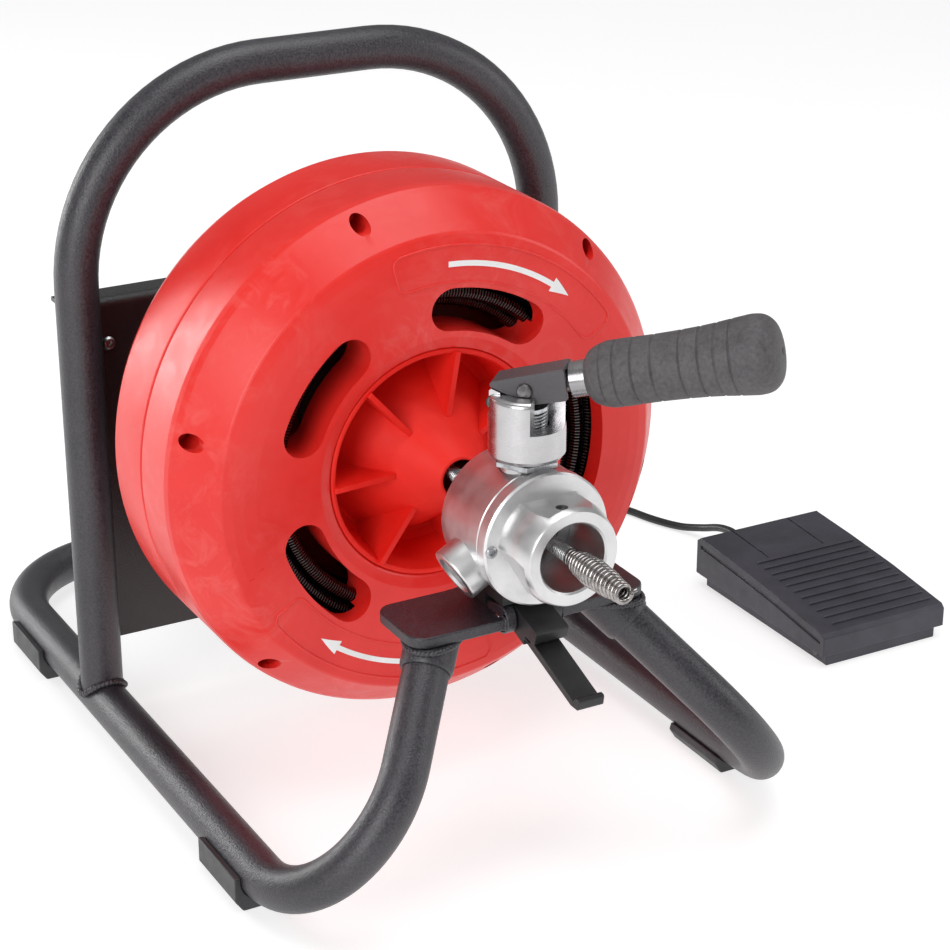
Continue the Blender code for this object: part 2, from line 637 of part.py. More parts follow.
def roller_slot(target, centre, out, way, name):
    """Cut the room for a roller and the holes for its trunnions out of a holder."""
    side = way.cross(out)
    bm = bmesh.new()
    wide, deep, long = ROLLER_R + 0.6, ROLLER_R + 0.6, ROLLER_HALF + 0.4
    bmesh.ops.create_cube(bm, size=1.0)
    grid = Matrix((side, way, out)).transposed().to_4x4()
    size = Matrix.Diagonal((2 * wide, 2 * long, deep * 2 + 10, 1))
    shift = Matrix.Translation(centre - out * 5)
    bmesh.ops.transform(bm, matrix=shift @ grid @ size, verts=bm.verts[:])
    boolean(target, finish_mesh(name + "_room", bm, "root", None), "DIFFERENCE")
    reach = way * (ROLLER_HALF + 2.8 + 0.4)
    pin = rod(name + "_pins", 2.5, centre - reach, centre + reach, "root", None, 16)
    boolean(target, pin, "DIFFERENCE")


def make_rollers():
    for label, angle in LOWER_ANGLES.items():
        out = radial(angle)
        base = Vector((0, BOSS_Y, AXIS_Z))
        spot = base + out * LOWER_ROLLER_R
        way = make_roller(label, spot, out, "roller_" + label)
        holder = rod("roller_holder_" + label, HOLDER_R, base + out * 9.5, base + out * 38, "root",
                     "steel", 18)
        roller_slot(holder, spot, out, way, "slot_" + label)
        plug = [(0, 38.3), (HOLDER_R, 38.3), (HOLDER_R, 45), (4.5, 45), (4.5, 41.5), (0, 41.5)]
        turned("boss_plug_" + label, plug, base, out, "root", "aluminium", 18)
    out = Vector((0, 0, 1))
    spot = GUIDE_CENTRE + out * TOP_ROLLER_R
    way = make_roller("top", spot, out, "roller_top")
    low, top = TOP_ROLLER_R - 3.0, PIVOT_Z - AXIS_Z - 3.3
    outline = [(0, low), (HOLDER_R, low), (HOLDER_R, 49.7), (4.5, 49.7), (4.5, 73.1), (12.2, 73.1),
               (12.2, 75.5), (3.4, 75.5), (3.4, top), (0, top)]
    plunger = turned("plunger", outline, GUIDE_CENTRE, out, "plunger", "steel", 18)
    roller_slot(plunger, spot, out, way, "slot_top")


def swing(made):
    """Turn a piece built towards +X about the post's axis to where the lever points."""
    foot = Matrix.Translation(GUIDE_CENTRE * MM)
    made.data.transform(foot @ Matrix.Rotation(LEVER_TURN, 4, "Z") @ foot.inverted())
    return made


def above_axis(outline):
    """An outline whose heights are counted from the drum's axis."""
    return [(out, AXIS_Z + up) for out, up in outline]


def make_post():
    """Turned post with a slot and a window for the lever, an ear and a tongue for its pivot."""
    outline = [(11, 34.3), (16, 34.3), (16, 44), (19, 44), (POST_R, 47.5), (POST_R, 83), (13, 83),
               (13, 58), (5.2, 58), (5.2, 50), (11, 50)]
    post = turned("feed_post", outline, GUIDE_CENTRE, Vector((0, 0, 1)), "root", "aluminium", 24)
    slot = box("post_slot", (-40, FEED_Y - 10.2, AXIS_Z + 69), (40, FEED_Y + 10.2, AXIS_Z + 95), "root",
               None)
    boolean(post, swing(slot), "DIFFERENCE")
    window = box("post_window", (7, FEED_Y - 40, AXIS_Z + 64), (40, FEED_Y + 10.2, AXIS_Z + 95), "root",
                 None)
    boolean(post, swing(window), "DIFFERENCE")
    ear = above_axis([(-19.9, 62), (-13.4, 62), (-13.4, 84.3), (-19.9, 86.8)])
    boolean(post, swing(prism("post_ear", ear, "xz", FEED_Y - 9.9, FEED_Y + 9.9, "root", None)), "UNION")
    tongue = arc((PIVOT_OUT, PIVOT_Z), 3.9, -90, 105, 10) + above_axis([(-15, 88.8), (-15, 80)])
    boolean(post, swing(prism("post_tongue", tongue, "xz", FEED_Y - 5, FEED_Y + 5, "root", None)), "UNION")
    pin_hole = rod("tongue_hole", PIVOT_R + GAP, Vector((PIVOT_OUT, FEED_Y - 15, PIVOT_Z)),
                   Vector((PIVOT_OUT, FEED_Y + 15, PIVOT_Z)), "root", None, 12)
    boolean(post, swing(pin_hole), "DIFFERENCE")
    coil = [(9.2, 58.3), (12.2, 58.3), (12.2, 72.8), (9.2, 72.8)]
    turned("plunger_spring", coil, GUIDE_CENTRE, Vector((0, 0, 1)), "root", "steel", 16)


def make_lever():
    """Channel over the post, open below, with two pins; a rod with a collar carries the grip."""
    (left, left_up), (right, right_up) = CHANNEL_TOP_LEFT, CHANNEL_TOP_RIGHT
    slope = (right_up - left_up) / (right - left)
    outer = [CHANNEL_TOP_LEFT, (-19.9, 87.4), (4.3, 78.3), (25.8, 83.2), CHANNEL_TOP_RIGHT]
    low, high = FEED_Y - CHANNEL_HALF, FEED_Y + CHANNEL_HALF
    channel = prism("lever_channel", above_axis(outer), "xz", low, high, "lever", "powder_coat")
    swing(channel)
    ceiling = [(out, left_up + (out - left) * slope - CHANNEL_TOP_T) for out in (-30, 40)]
    inner = above_axis([ceiling[0], (-30, 60), (40, 60), ceiling[1]])
    hollow = prism("channel_inside", inner, "xz", low + CHANNEL_WALL, high - CHANNEL_WALL, "lever", None)
    boolean(channel, swing(hollow), "DIFFERENCE")
    pins = (("pivot_pin", PIVOT_OUT, PIVOT_R, "root", -0.2),
            ("push_pin", PIVOT_OUT + PUSH_ARM, PUSH_PIN_R, "lever", 0.2))
    for name, out, radius, body, proud in pins:
        hole = rod(name + "_hole", radius + GAP, Vector((out, low - 3, PIVOT_Z)),
                   Vector((out, high + 3, PIVOT_Z)), "lever", None, 16)
        boolean(channel, swing(hole), "DIFFERENCE")
        swing(rod(name, radius, Vector((out, low - proud, PIVOT_Z)), Vector((out, high + proud, PIVOT_Z)),
                  body, "steel", 16))
    way = Vector((math.cos(GRIP_RISE), 0, math.sin(GRIP_RISE)))
    start = Vector((GRIP_OUT, FEED_Y, AXIS_Z + GRIP_UP))
    grip = [(6.3, 0), (11.5, 0), (15.5, 3.5), (18.6, 11), (19.2, 20), (19, 36), (19.3, 54), (20.2, 72),
            (22, 90), (22.5, 98), (21, 104.5), (16, 109.3), (8, 111.2), (0, 111.5), (0, 34), (6.3, 34)]
    swing(turned("lever_grip", grip, start, way, "lever", "grip_rubber", 16))
    stem = [(0, -30), (6, -30), (6, -9.8), (10.5, -9.8), (10.5, -0.3), (6, -0.3), (6, 33), (0, 33)]
    swing(turned("lever_rod", stem, start, way, "lever", "steel", 16))


# ---------------------------------------------------------------- foot pedal

def make_pedal():
    inset = 5.5
    low_x, high_x = PEDAL_X - PEDAL_HALF, PEDAL_X + PEDAL_HALF
    cover = [(PEDAL_FRONT_Y, 9), (PEDAL_FRONT_Y, 23), (PEDAL_FRONT_Y + 3, 26), (-110, 33), (-60, 37),
             (PEDAL_REAR_Y - 5, 39.5), (PEDAL_REAR_Y, 36), (PEDAL_REAR_Y, 9.5)]
    treadle = prism("pedal_treadle", cover, "yz", low_x, high_x, "treadle", "pedal_plastic")
    w = PEDAL_WALL
    inside = [(PEDAL_FRONT_Y + w, 0), (PEDAL_FRONT_Y + w, 22), (-110, 30), (-60, 34),
              (PEDAL_REAR_Y - 6, 36.5), (PEDAL_REAR_Y - w, 35), (PEDAL_REAR_Y - w, 0)]
    boolean(treadle, prism("treadle_inside", inside, "yz", low_x + w, high_x - w, "treadle", None),
            "DIFFERENCE")
    boolean(treadle, box("relief_notch", (PEDAL_X - 9, PEDAL_REAR_Y - 6, 0),
                         (PEDAL_X + 9, PEDAL_REAR_Y + 6, 31), "treadle", None), "DIFFERENCE")
    base = box("pedal_base", (low_x + inset, PEDAL_FRONT_Y + 3, 0), (high_x - inset, -17.5, 12), "root",
               "pedal_plastic")
    boolean(base, box("base_inside", (low_x + inset + w, PEDAL_FRONT_Y + 3 + w, 2.5),
                      (high_x - inset - w, -17.5 - w, 20), "root", None), "DIFFERENCE")
    boolean(base, box("relief_post", (PEDAL_X - 8, -21, 6), (PEDAL_X + 8, -17.5, 28), "root", None),
            "UNION")
    boolean(base, rod("pedal_pin_hole", 2.8, Vector((low_x, PEDAL_HINGE_Y, PEDAL_HINGE_Z)),
                      Vector((high_x, PEDAL_HINGE_Y, PEDAL_HINGE_Z)), "root", None, 16), "DIFFERENCE")
    rod("pedal_hinge_pin", 2.5, Vector((low_x + w + 0.3, PEDAL_HINGE_Y, PEDAL_HINGE_Z)),
        Vector((high_x - w - 0.3, PEDAL_HINGE_Y, PEDAL_HINGE_Z)), "treadle", "steel", 16)
    box("pedal_switch", (PEDAL_X - 14, -70, 2.8), (PEDAL_X + 14, -58, 22), "root", "black_plastic")
    turned("pedal_spring", [(4.8, 2.8), (6.4, 2.8), (6.4, 33.8), (4.8, 33.8)],
           Vector((PEDAL_X, -45, 0)), Vector((0, 0, 1)), "root", "steel", 14)
    relief = [(0, -17.2), (6.5, -17.2), (6.5, -13.5), (5.2, -12), (4.0, 14), (0, 14)]
    turned("pedal_strain_relief", relief, Vector((PEDAL_X, 0, RELIEF_Z)), Vector((0, 1, 0)), "root",
           "black_plastic", 14)


# ---------------------------------------------------------------- pedal cord

def smooth_route(points, spacing):
    """Even points on a Catmull-Rom curve through the route's own points."""
    ends = [2 * points[0] - points[1]] + points + [2 * points[-1] - points[-2]]
    fine = []
    for a, b, c, d in zip(ends, ends[1:], ends[2:], ends[3:]):
        for k in range(24):
            t = k / 24
            fine.append(0.5 * ((2 * b) + (c - a) * t + (2 * a - 5 * b + 4 * c - d) * t * t
                               + (3 * b - a - 3 * c + d) * t ** 3))
    fine.append(points[-1])
    lengths = [0.0]
    for a, b in zip(fine, fine[1:]):
        lengths.append(lengths[-1] + (b - a).length)
    count = max(2, round(lengths[-1] / spacing))
    even, at = [], 0
    for k in range(count + 1):
        want = lengths[-1] * k / count
        while at < len(fine) - 2 and lengths[at + 1] < want:
            at += 1
        span = lengths[at + 1] - lengths[at]
        even.append(fine[at].lerp(fine[at + 1], (want - lengths[at]) / span if span else 0.0))
    return even


def cord_tube(name, points):
    curve = bpy.data.curves.new(name, "CURVE")
    curve.dimensions = "3D"
    curve.bevel_depth = CORD_R * MM
    curve.bevel_resolution = 2
    curve.use_fill_caps = True
    even = smooth_route(points, CORD_R * 4)
    spline = curve.splines.new("POLY")
    spline.points.add(len(even) - 1)
    for spot, place in zip(spline.points, even):
        spot.co = (*(place * MM), 1.0)
    curve.materials.append(material("cable_sheath"))
    made = bpy.data.objects.new(name, curve)
    bpy.context.scene.collection.objects.link(made)
    made.parent = BODIES["root"]


def make_cord():
    cord_tube("pedal_cord_fall", FALL)
    inner, outer = COIL_MID_R - COIL_HALF, COIL_MID_R + COIL_HALF
    low = CORD_Z - CORD_R
    high = low + COIL_LAYERS * 2 * CORD_R + 0.4
    outline = [(inner, low), (outer, low), (outer, high), (inner, high)]
    turned("pedal_cord_coil", outline, COIL_CENTRE, Vector((0, 0, 1)), "root", "cable_sheath", 28)
    cord_tube("pedal_cord_run", RUN)


clear_scene()
PIVOTS = {
    "root": Vector((0, 0, 0)),
    "drum": Vector((0, -100, AXIS_Z)),
    "snake": Vector((0, TIP_START_Y, AXIS_Z)),
    "rotor": Vector((0, 66, AXIS_Z - MOTOR_DROP)),
    "lever": Vector((PIVOT_OUT * math.cos(LEVER_TURN), FEED_Y + PIVOT_OUT * math.sin(LEVER_TURN), PIVOT_Z)),
    "plunger": GUIDE_CENTRE + Vector((0, 0, TOP_ROLLER_R)),
    "roller_top": GUIDE_CENTRE + Vector((0, 0, TOP_ROLLER_R)),
    "roller_left": Vector((0, BOSS_Y, AXIS_Z)) + radial(LOWER_ANGLES["left"]) * LOWER_ROLLER_R,
    "roller_right": Vector((0, BOSS_Y, AXIS_Z)) + radial(LOWER_ANGLES["right"]) * LOWER_ROLLER_R,
    "latch": Vector((0, LATCH_Y, LATCH_Z)),
    "knob": Vector((94, 62, 168)),
    "treadle": Vector((PEDAL_X, PEDAL_HINGE_Y, PEDAL_HINGE_Z)),
}
ROOT = empty("drain_machine", -ORIGIN)
BODIES = {name: empty(name + "_pivot", place, ROOT) for name, place in PIVOTS.items()}

make_base_tube()
make_hoop()
make_feet()
make_plate()
make_saddle()
make_release_lever()
make_drum_shells()
make_inner_cone()
make_drum_inside()
make_drive()
make_switch_box()
make_snake()
make_guide()
make_rollers()
make_post()
make_lever()
make_pedal()
make_cord()
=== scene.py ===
"""Looks of the drum drain snake machine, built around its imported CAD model.

Lengths are millimetres in the object's own layout: x from the drum's axis, y from the plane of
the carrying hoop, z from the floor. ORIGIN, read from the frame, places that layout in the scene.
"""
import json
import math

import bmesh
import bpy
from mathutils import Matrix, Vector


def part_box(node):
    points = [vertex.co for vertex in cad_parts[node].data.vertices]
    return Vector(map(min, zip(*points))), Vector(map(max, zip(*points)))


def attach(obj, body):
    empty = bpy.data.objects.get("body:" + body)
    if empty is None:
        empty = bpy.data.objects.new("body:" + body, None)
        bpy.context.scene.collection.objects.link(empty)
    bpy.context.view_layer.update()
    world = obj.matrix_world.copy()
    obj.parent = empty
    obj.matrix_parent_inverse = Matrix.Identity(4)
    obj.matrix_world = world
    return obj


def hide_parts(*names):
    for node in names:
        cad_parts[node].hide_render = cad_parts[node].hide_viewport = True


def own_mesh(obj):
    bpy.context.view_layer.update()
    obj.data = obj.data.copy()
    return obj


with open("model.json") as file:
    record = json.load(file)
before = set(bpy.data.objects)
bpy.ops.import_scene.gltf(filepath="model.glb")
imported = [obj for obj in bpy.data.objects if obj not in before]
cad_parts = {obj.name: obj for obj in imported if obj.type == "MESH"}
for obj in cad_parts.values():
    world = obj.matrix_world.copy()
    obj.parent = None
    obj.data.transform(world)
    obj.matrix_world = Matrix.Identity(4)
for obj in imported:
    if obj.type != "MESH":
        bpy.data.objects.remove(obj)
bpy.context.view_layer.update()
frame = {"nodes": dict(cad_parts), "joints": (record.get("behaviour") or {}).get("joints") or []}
MM = 0.001
JOINTS = {joint["name"]: joint for joint in frame["joints"]}
NODES = frame["nodes"]

HOOP_LOW, HOOP_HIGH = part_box("hoop_handle_tube")
DRUM_AT = Vector(JOINTS["drum_spin"]["pos_m"])
ORIGIN = Vector((DRUM_AT.x, (HOOP_LOW.y + HOOP_HIGH.y) / 2, 0.0)) / MM
AXIS_Z = DRUM_AT.z / MM

# carrying frame
TUBE_R = 14.0
TUBE_Z = 20.0
HOOP_HALF = 167.0
HOOP_TOP = 436.0
HOOP_BEND_R = 129.0
BASE_REAR_Y = 216.0
BASE_REAR_R = 84.0
BASE_FRONT_Y = -386.6
BASE_FRONT_R = 68.0
RISER_WAY = Vector((0.814, 0.887, 1.0)).normalized()
SADDLE_TOP = 163.7
SADDLE_T = 7.0
SADDLE_FRONT_Y = -285.5
SADDLE_REAR_Y = -233.0
SADDLE_HALF = 79.0
FOOT_LENGTH = 55.0
FOOT_FRONT_Y = -259.0
FOOT_REAR_Y = 76.0
PLATE_Y = 14.3
PLATE_T = 3.0
PLATE_HALF = 172.0
PLATE_LOW = 53.0
PLATE_TOP = 291.6
PLATE_FLANGE = 22.0

# drum
DRUM_R = 170.5
DRUM_WALL = 4.0
PARTING_Y = -104.0
OPENING_R = 74.0
FACE_IN = (82.0, -171.0)
SLOT_COUNT = 5
SLOT_MID_R = 100.0
SLOT_HALF = 14.0
SLOT_SPREAD = math.radians(15)
SLOT_FIRST = math.radians(71)
RIB_COUNT = 7
RIB_FIRST = math.radians(80)
POCKET_COUNT = 6
POCKET_R = 162.0
POCKET_FIRST = math.radians(46)
PLAQUE_MIDDLES = (68.5, 248.5)
PLAQUE_HALF = 35.5
PLAQUE_IN = 118.0
PLAQUE_OUT = 141.0
MOTOR_DROP = 105.0
MOTOR_R = 44.0

# snake and guide
CABLE_R = 5.0
TIP_START_Y = -326.0
TIP_END_Y = -384.0
GUIDE_R = 40.0
BORE_R = 21.0
GUIDE_REAR_Y = -243.0
GUIDE_SEAM_Y = -289.0
FLANGE_Y = -299.0
NOSE_Y = -329.0
FEED_Y = -275.0
BOSS_Y = -268.0
BOSS_ANGLES = {"left": math.radians(210), "right": math.radians(330)}
POST_R = 22.5
PIVOT_OUT = -9.2
PIVOT_UP = 86.6
PUSH_ARM = 10.0
CHANNEL_HALF = 9.5
CHANNEL_TOP_LEFT = (-19.4, 90.2)
CHANNEL_TOP_RIGHT = (23.2, 102.1)
CHANNEL_TOP_T = 2.08
GRIP_START = Vector((35.7, 0, 95.2))
GRIP_RISE = math.radians(13.5)
LATCH_Y = -278.0
LATCH_Z = 161.0

# pedal and its cord
PEDAL_X = 354.5
PEDAL_HALF = 53.0
PEDAL_FRONT_Y = -171.5
PEDAL_REAR_Y = -11.0
CORD_R = 3.0
CORD_Z = CORD_R + 0.2
COIL_CENTRE = Vector((236.0, 168.0, 0.0))
COIL_OUT_R = 40.0
COIL_IN_R = 28.0
BESIDE_COIL = 46.5
RELIEF_Z = 19.0

UP = Vector((0, 0, 1))
BACK = Vector((0, 1, 0))
FORWARD = Vector((0, -1, 0))
RIGHT = Vector((1, 0, 0))

# the lever's own layout: x out along the lever, y across it, z up from the drum's axis
LEVER_AXIS = Vector(JOINTS["feed_lever_press"]["axis"])
LEVER_TURN = math.atan2(-LEVER_AXIS.x, LEVER_AXIS.y)
LEVER_FRAME = Matrix.Translation((0, FEED_Y, AXIS_Z)) @ Matrix.Rotation(LEVER_TURN, 4, "Z")


# ---------------------------------------------------------------- shapes

def soften(outline, radius, steps=4, closed=True):
    """An outline with each corner turned into a small curve."""
    count = len(outline)
    made = []
    for k, here in enumerate(outline):
        here = Vector(here)
        if not closed and k in (0, count - 1):
            made.append(tuple(here))
            continue
        before = Vector(outline[k - 1]) - here
        after = Vector(outline[(k + 1) % count]) - here
        if before.length < 1e-6 or after.length < 1e-6:
            continue
        half = before.angle(after) / 2
        if half > math.radians(88):
            made.append(tuple(here))
            continue
        reach = min(radius / math.tan(half), before.length * 0.45, after.length * 0.45)
        start = here + before.normalized() * reach
        end = here + after.normalized() * reach
        for n in range(steps + 1):
            t = n / steps
            made.append(tuple(start * (1 - t) ** 2 + here * 2 * t * (1 - t) + end * t * t))
    return made


def arc(centre, radius, start, end, steps):
    """Points on an arc in a plane, angles in degrees."""
    angles = [math.radians(start + (end - start) * k / steps) for k in range(steps + 1)]
    return [(centre[0] + radius * math.cos(a), centre[1] + radius * math.sin(a)) for a in angles]


def square_to(way):
    guide = UP if abs(way.z) < 0.9 else RIGHT
    side = way.cross(guide).normalized()
    return side, side.cross(way)


def circle(centre, way, radius, count, start=0.0):
    """Even points on a circle about an axis."""
    side, other = square_to(way)
    angles = [math.tau * k / count + start for k in range(count)]
    return [centre + (side * math.cos(a) + other * math.sin(a)) * radius for a in angles]


def join_rings(bm, one, two):
    """Faces between two rings of vertices, either of which may be a single vertex."""
    count = max(len(one), len(two))
    if count == 1:
        return
    for k in range(count):
        n = (k + 1) % count
        if len(one) == 1:
            bm.faces.new((one[0], two[n], two[k]))
        elif len(two) == 1:
            bm.faces.new((one[k], one[n], two[0]))
        else:
            bm.faces.new((one[k], one[n], two[n], two[k]))


def lathe(bm, outline, centre, way, sides, looped=False):
    """Turn a (radius, distance) outline about an axis; a looped one is a ring clear of it."""
    way = way.normalized()
    rings = []
    for radius, along in outline:
        spot = centre + way * along
        spots = [spot] if radius < 1e-4 else circle(spot, way, radius, sides)
        rings.append([bm.verts.new(place) for place in spots])
    if looped:
        rings.append(rings[0])
    for one, two in zip(rings, rings[1:]):
        join_rings(bm, one, two)


def turned(outline, centre, way, sides=40, looped=False):
    """A new shape, turned."""
    bm = bmesh.new()
    lathe(bm, outline, centre, way, sides, looped)
    return bm


def drum_ring(outline, sides=128, drop=0.0):
    """A new ring turned from (radius, y) points about the drum's axis, or one below it."""
    return turned(outline, Vector((0, 0, AXIS_Z - drop)), BACK, sides, looped=True)


def bar(radius, start, end, sides=48):
    """A new round bar between two points."""
    length = (end - start).length
    return turned([(0, 0), (radius, 0), (radius, length), (0, length)], start, end - start, sides)


def sweep(bm, path, radius, sides, capped=True):
    """A round tube along a path; radius is a number or one number per point."""
    radii = radius if hasattr(radius, "__len__") else [radius] * len(path)
    ways = [(b - a).normalized() for a, b in zip(path, path[1:])]
    along = [ways[0]] + [(a + b).normalized() for a, b in zip(ways, ways[1:])] + [ways[-1]]
    angles = [math.tau * k / sides for k in range(sides)]
    side, _ = square_to(along[0])
    rings = []
    for spot, way, size in zip(path, along, radii):
        side = (side - way * side.dot(way)).normalized()
        other = way.cross(side)
        rings.append([spot + (side * math.cos(a) + other * math.sin(a)) * size for a in angles])
    loft(bm, rings, capped)


def swept(*shape):
    """A new tube along a path."""
    bm = bmesh.new()
    sweep(bm, *shape)
    return bm


def extrude(bm, outline, plane, low, high, matrix=None):
    """Extrude an outline drawn in a plane ('xy', 'yz' or 'xz') along the third axis."""
    def point(u, v, w):
        return Vector({"xy": (u, v, w), "yz": (w, u, v), "xz": (u, w, v)}[plane])
    layers = []
    for w in (low, high):
        spots = [point(u, v, w) for u, v in outline]
        layers.append([matrix @ spot if matrix else spot for spot in spots])
    loft(bm, layers)


def extruded(*shape):
    """A new shape, extruded."""
    bm = bmesh.new()
    extrude(bm, *shape)
    return bm


def block(low, high, matrix=None):
    """A new box between two corners."""
    outline = [(low[0], low[1]), (high[0], low[1]), (high[0], high[1]), (low[0], high[1])]
    return extruded(outline, "xy", low[2], high[2], matrix)


def loft(bm, rings, ends=True):
    """Join rings of points of the same length, with both ends closed if asked."""
    verts = [[bm.verts.new(spot) for spot in ring] for ring in rings]
    for one, two in zip(verts, verts[1:]):
        join_rings(bm, one, two)
    if ends:
        bm.faces.new(verts[0])
        bm.faces.new(verts[-1])


def rounded_path(corners, radii, step=math.radians(4)):
    """Straight runs joined by arcs."""
    points = [corners[0]]
    for before, here, after, radius in zip(corners, corners[1:], corners[2:], radii):
        back = (before - here).normalized()
        on = (after - here).normalized()
        half = back.angle(on) / 2
        centre = here + (back + on).normalized() * radius / math.sin(half)
        start = here + back * radius / math.tan(half) - centre
        end = here + on * radius / math.tan(half) - centre
        turn = math.pi - 2 * half
        axis = start.cross(end)
        steps = max(2, round(turn / step))
        points += [centre + Matrix.Rotation(turn * k / steps, 3, axis) @ start for k in range(steps + 1)]
    return points + [corners[-1]]


def radial(angle, radius=1.0):
    return Vector((math.cos(angle), 0, math.sin(angle))) * radius


def mesh_from(bm, name):
    bmesh.ops.recalc_face_normals(bm, faces=bm.faces[:])
    for vert in bm.verts:
        vert.co = (vert.co + ORIGIN) * MM
    mesh = bpy.data.meshes.new(name)
    bm.to_mesh(mesh)
    bm.free()
    return mesh


def made_object(name, bm):
    made = bpy.data.objects.new(name, mesh_from(bm, name))
    bpy.context.scene.collection.objects.link(made)
    return made


def carve(target, bm, operation="DIFFERENCE"):
    """Cut a shape out of an object, or join it on, for good."""
    tool = made_object("tool", bm)
    step = target.modifiers.new("step", "BOOLEAN")
    step.operation = operation
    step.solver = "EXACT"
    step.object = tool
    bpy.context.view_layer.update()
    graph = bpy.context.evaluated_depsgraph_get()
    done = bpy.data.meshes.new_from_object(target.evaluated_get(graph))
    target.modifiers.remove(step)
    old = target.data
    target.data = done
    bpy.data.meshes.remove(old)
    bpy.data.objects.remove(tool, do_unlink=True)


def dress(made, body, material, replaces=(), bevel=0.0, sharp=35, segments=3):
    """Give an object its finish and its place on a body."""
    made.data.shade_smooth()
    made.data.set_sharp_from_angle(angle=math.radians(sharp))
    made.data.materials.clear()
    made.data.materials.append(material)
    if bevel:
        step = made.modifiers.new("soft_edges", "BEVEL")
        step.width = bevel * MM
        step.segments = segments
        step.limit_method = "ANGLE"
        step.angle_limit = math.radians(40)
        step.miter_outer = "MITER_ARC"
    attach(made, body)
    if replaces:
        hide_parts(*replaces)
    return made


def piece(name, bm, body, material, replaces=(), bevel=0.0, sharp=35, segments=3):
    return dress(made_object(name, bm), body, material, replaces, bevel, sharp, segments)


# ---------------------------------------------------------------- materials

class Paint:
    """A material's node tree, built a node at a time on object coordinates."""

    def __init__(self, name, colour, roughness, metallic=0.0, **sockets):
        self.material = bpy.data.materials.new(name)
        self.material.use_nodes = True
        self.tree = self.material.node_tree
        self.shader = self.tree.nodes["Principled BSDF"]
        self.place = self.tree.nodes.new("ShaderNodeTexCoord").outputs["Object"]
        self.shader.inputs["Base Color"].default_value = (*colour, 1)
        self.shader.inputs["Roughness"].default_value = roughness
        self.shader.inputs["Metallic"].default_value = metallic
        for socket, value in sockets.items():
            self.shader.inputs[socket.replace("_", " ")].default_value = value
        self.normal = None

    def node(self, kind, **inputs):
        made = self.tree.nodes.new(kind)
        for key, value in inputs.items():
            socket = made.inputs[int(key[1:]) if key[0] == "i" and key[1:].isdigit() else key]
            if isinstance(value, bpy.types.NodeSocket):
                self.tree.links.new(value, socket)
            else:
                socket.default_value = value
        return made

    def noise(self, scale, detail=3.0, roughness=0.5, distortion=0.0, place=None):
        made = self.node("ShaderNodeTexNoise", Vector=place or self.place, Scale=scale, Detail=detail,
                         Roughness=roughness, Distortion=distortion)
        return made.outputs["Fac"]

    def math(self, operation, first, second=0.0):
        made = self.node("ShaderNodeMath", i0=first, i1=second)
        made.operation = operation
        return made.outputs[0]

    def vector(self, operation, *values):
        made = self.node("ShaderNodeVectorMath", **{"i%d" % k: value for k, value in enumerate(values)})
        made.operation = operation
        return made

    def blend(self, first, share, second):
        """Two values added in shares that make one."""
        return self.math("ADD", self.math("MULTIPLY", first, share),
                         self.math("MULTIPLY", second, 1 - share))

    def remap(self, value, low, high, to_low, to_high):
        made = self.node("ShaderNodeMapRange", i0=value, i1=low, i2=high, i3=to_low, i4=to_high)
        return made.outputs[0]

    def tint(self, value, low_colour, high_colour, low=0.3, high=0.7):
        """A colour running between two colours with a value."""
        ramp = self.node("ShaderNodeValToRGB", Fac=value)
        stops = ramp.color_ramp.elements
        for stop, position, colour in zip(stops, (low, high), (low_colour, high_colour)):
            stop.position = position
            stop.color = (*colour, 1)
        return ramp.outputs["Color"]

    def mix(self, factor, first, second):
        made = self.node("ShaderNodeMix")
        made.data_type = "RGBA"
        self.tree.links.new(factor, made.inputs[0])
        self.tree.links.new(first, made.inputs[6])
        made.inputs[7].default_value = (*second, 1)
        return made.outputs[2]

    def set(self, socket, value):
        self.tree.links.new(value, self.shader.inputs[socket])

    def colour(self, *tint):
        self.set("Base Color", self.tint(*tint))

    def rough(self, value, to_low, to_high):
        """Roughness running between two values with a noise."""
        self.set("Roughness", self.remap(value, 0.3, 0.7, to_low, to_high))

    def bump(self, value, distance, strength=1.0):
        made = self.node("ShaderNodeBump", Height=value, Strength=strength, Distance=distance)
        if self.normal:
            self.tree.links.new(self.normal, made.inputs["Normal"])
        self.normal = made.outputs["Normal"]
        self.set("Normal", self.normal)

    def about(self, centre, way):
        """(radius, distance) about an axis, as a vector, so that a texture on it makes rings."""
        away = self.vector("SUBTRACT", self.place, (centre + ORIGIN) * MM).outputs[0]
        along = self.vector("DOT_PRODUCT", away, way).outputs["Value"]
        across = self.vector("CROSS_PRODUCT", away, way).outputs[0]
        radius = self.vector("LENGTH", across).outputs["Value"]
        return self.node("ShaderNodeCombineXYZ", X=radius, Y=along).outputs[0]


def powder_coat(name, dark, light, grain):
    """Dark textured powder coat: fine pebbled surface, faint cloudy tone."""
    paint = Paint(name, dark, 0.40, 0.0, Specular_IOR_Level=0.7)
    cloud = paint.noise(14.0, 4.0, 0.6)
    fine = paint.noise(grain, 2.0, 0.6)
    paint.colour(paint.blend(cloud, 0.3, fine), dark, light, 0.38, 0.64)
    paint.rough(fine, 0.30, 0.50)
    paint.bump(fine, 0.0004, 0.8)
    paint.bump(paint.noise(60.0, 3.0), 0.0004, 0.12)
    return paint.material


def moulded(name, dark, light, roughness, grain=1800.0, depth=0.00008):
    """Moulded plastic: fine grain, slow tone changes, faint flow marks."""
    paint = Paint(name, dark, roughness)
    paint.colour(paint.noise(22.0, 5.0, 0.62, 0.8), dark, light, 0.35, 0.68)
    paint.rough(paint.noise(95.0, 4.0, 0.6), roughness - 0.06, roughness + 0.08)
    paint.bump(paint.noise(grain, 2.0, 0.5), depth, 0.7)
    return paint.material


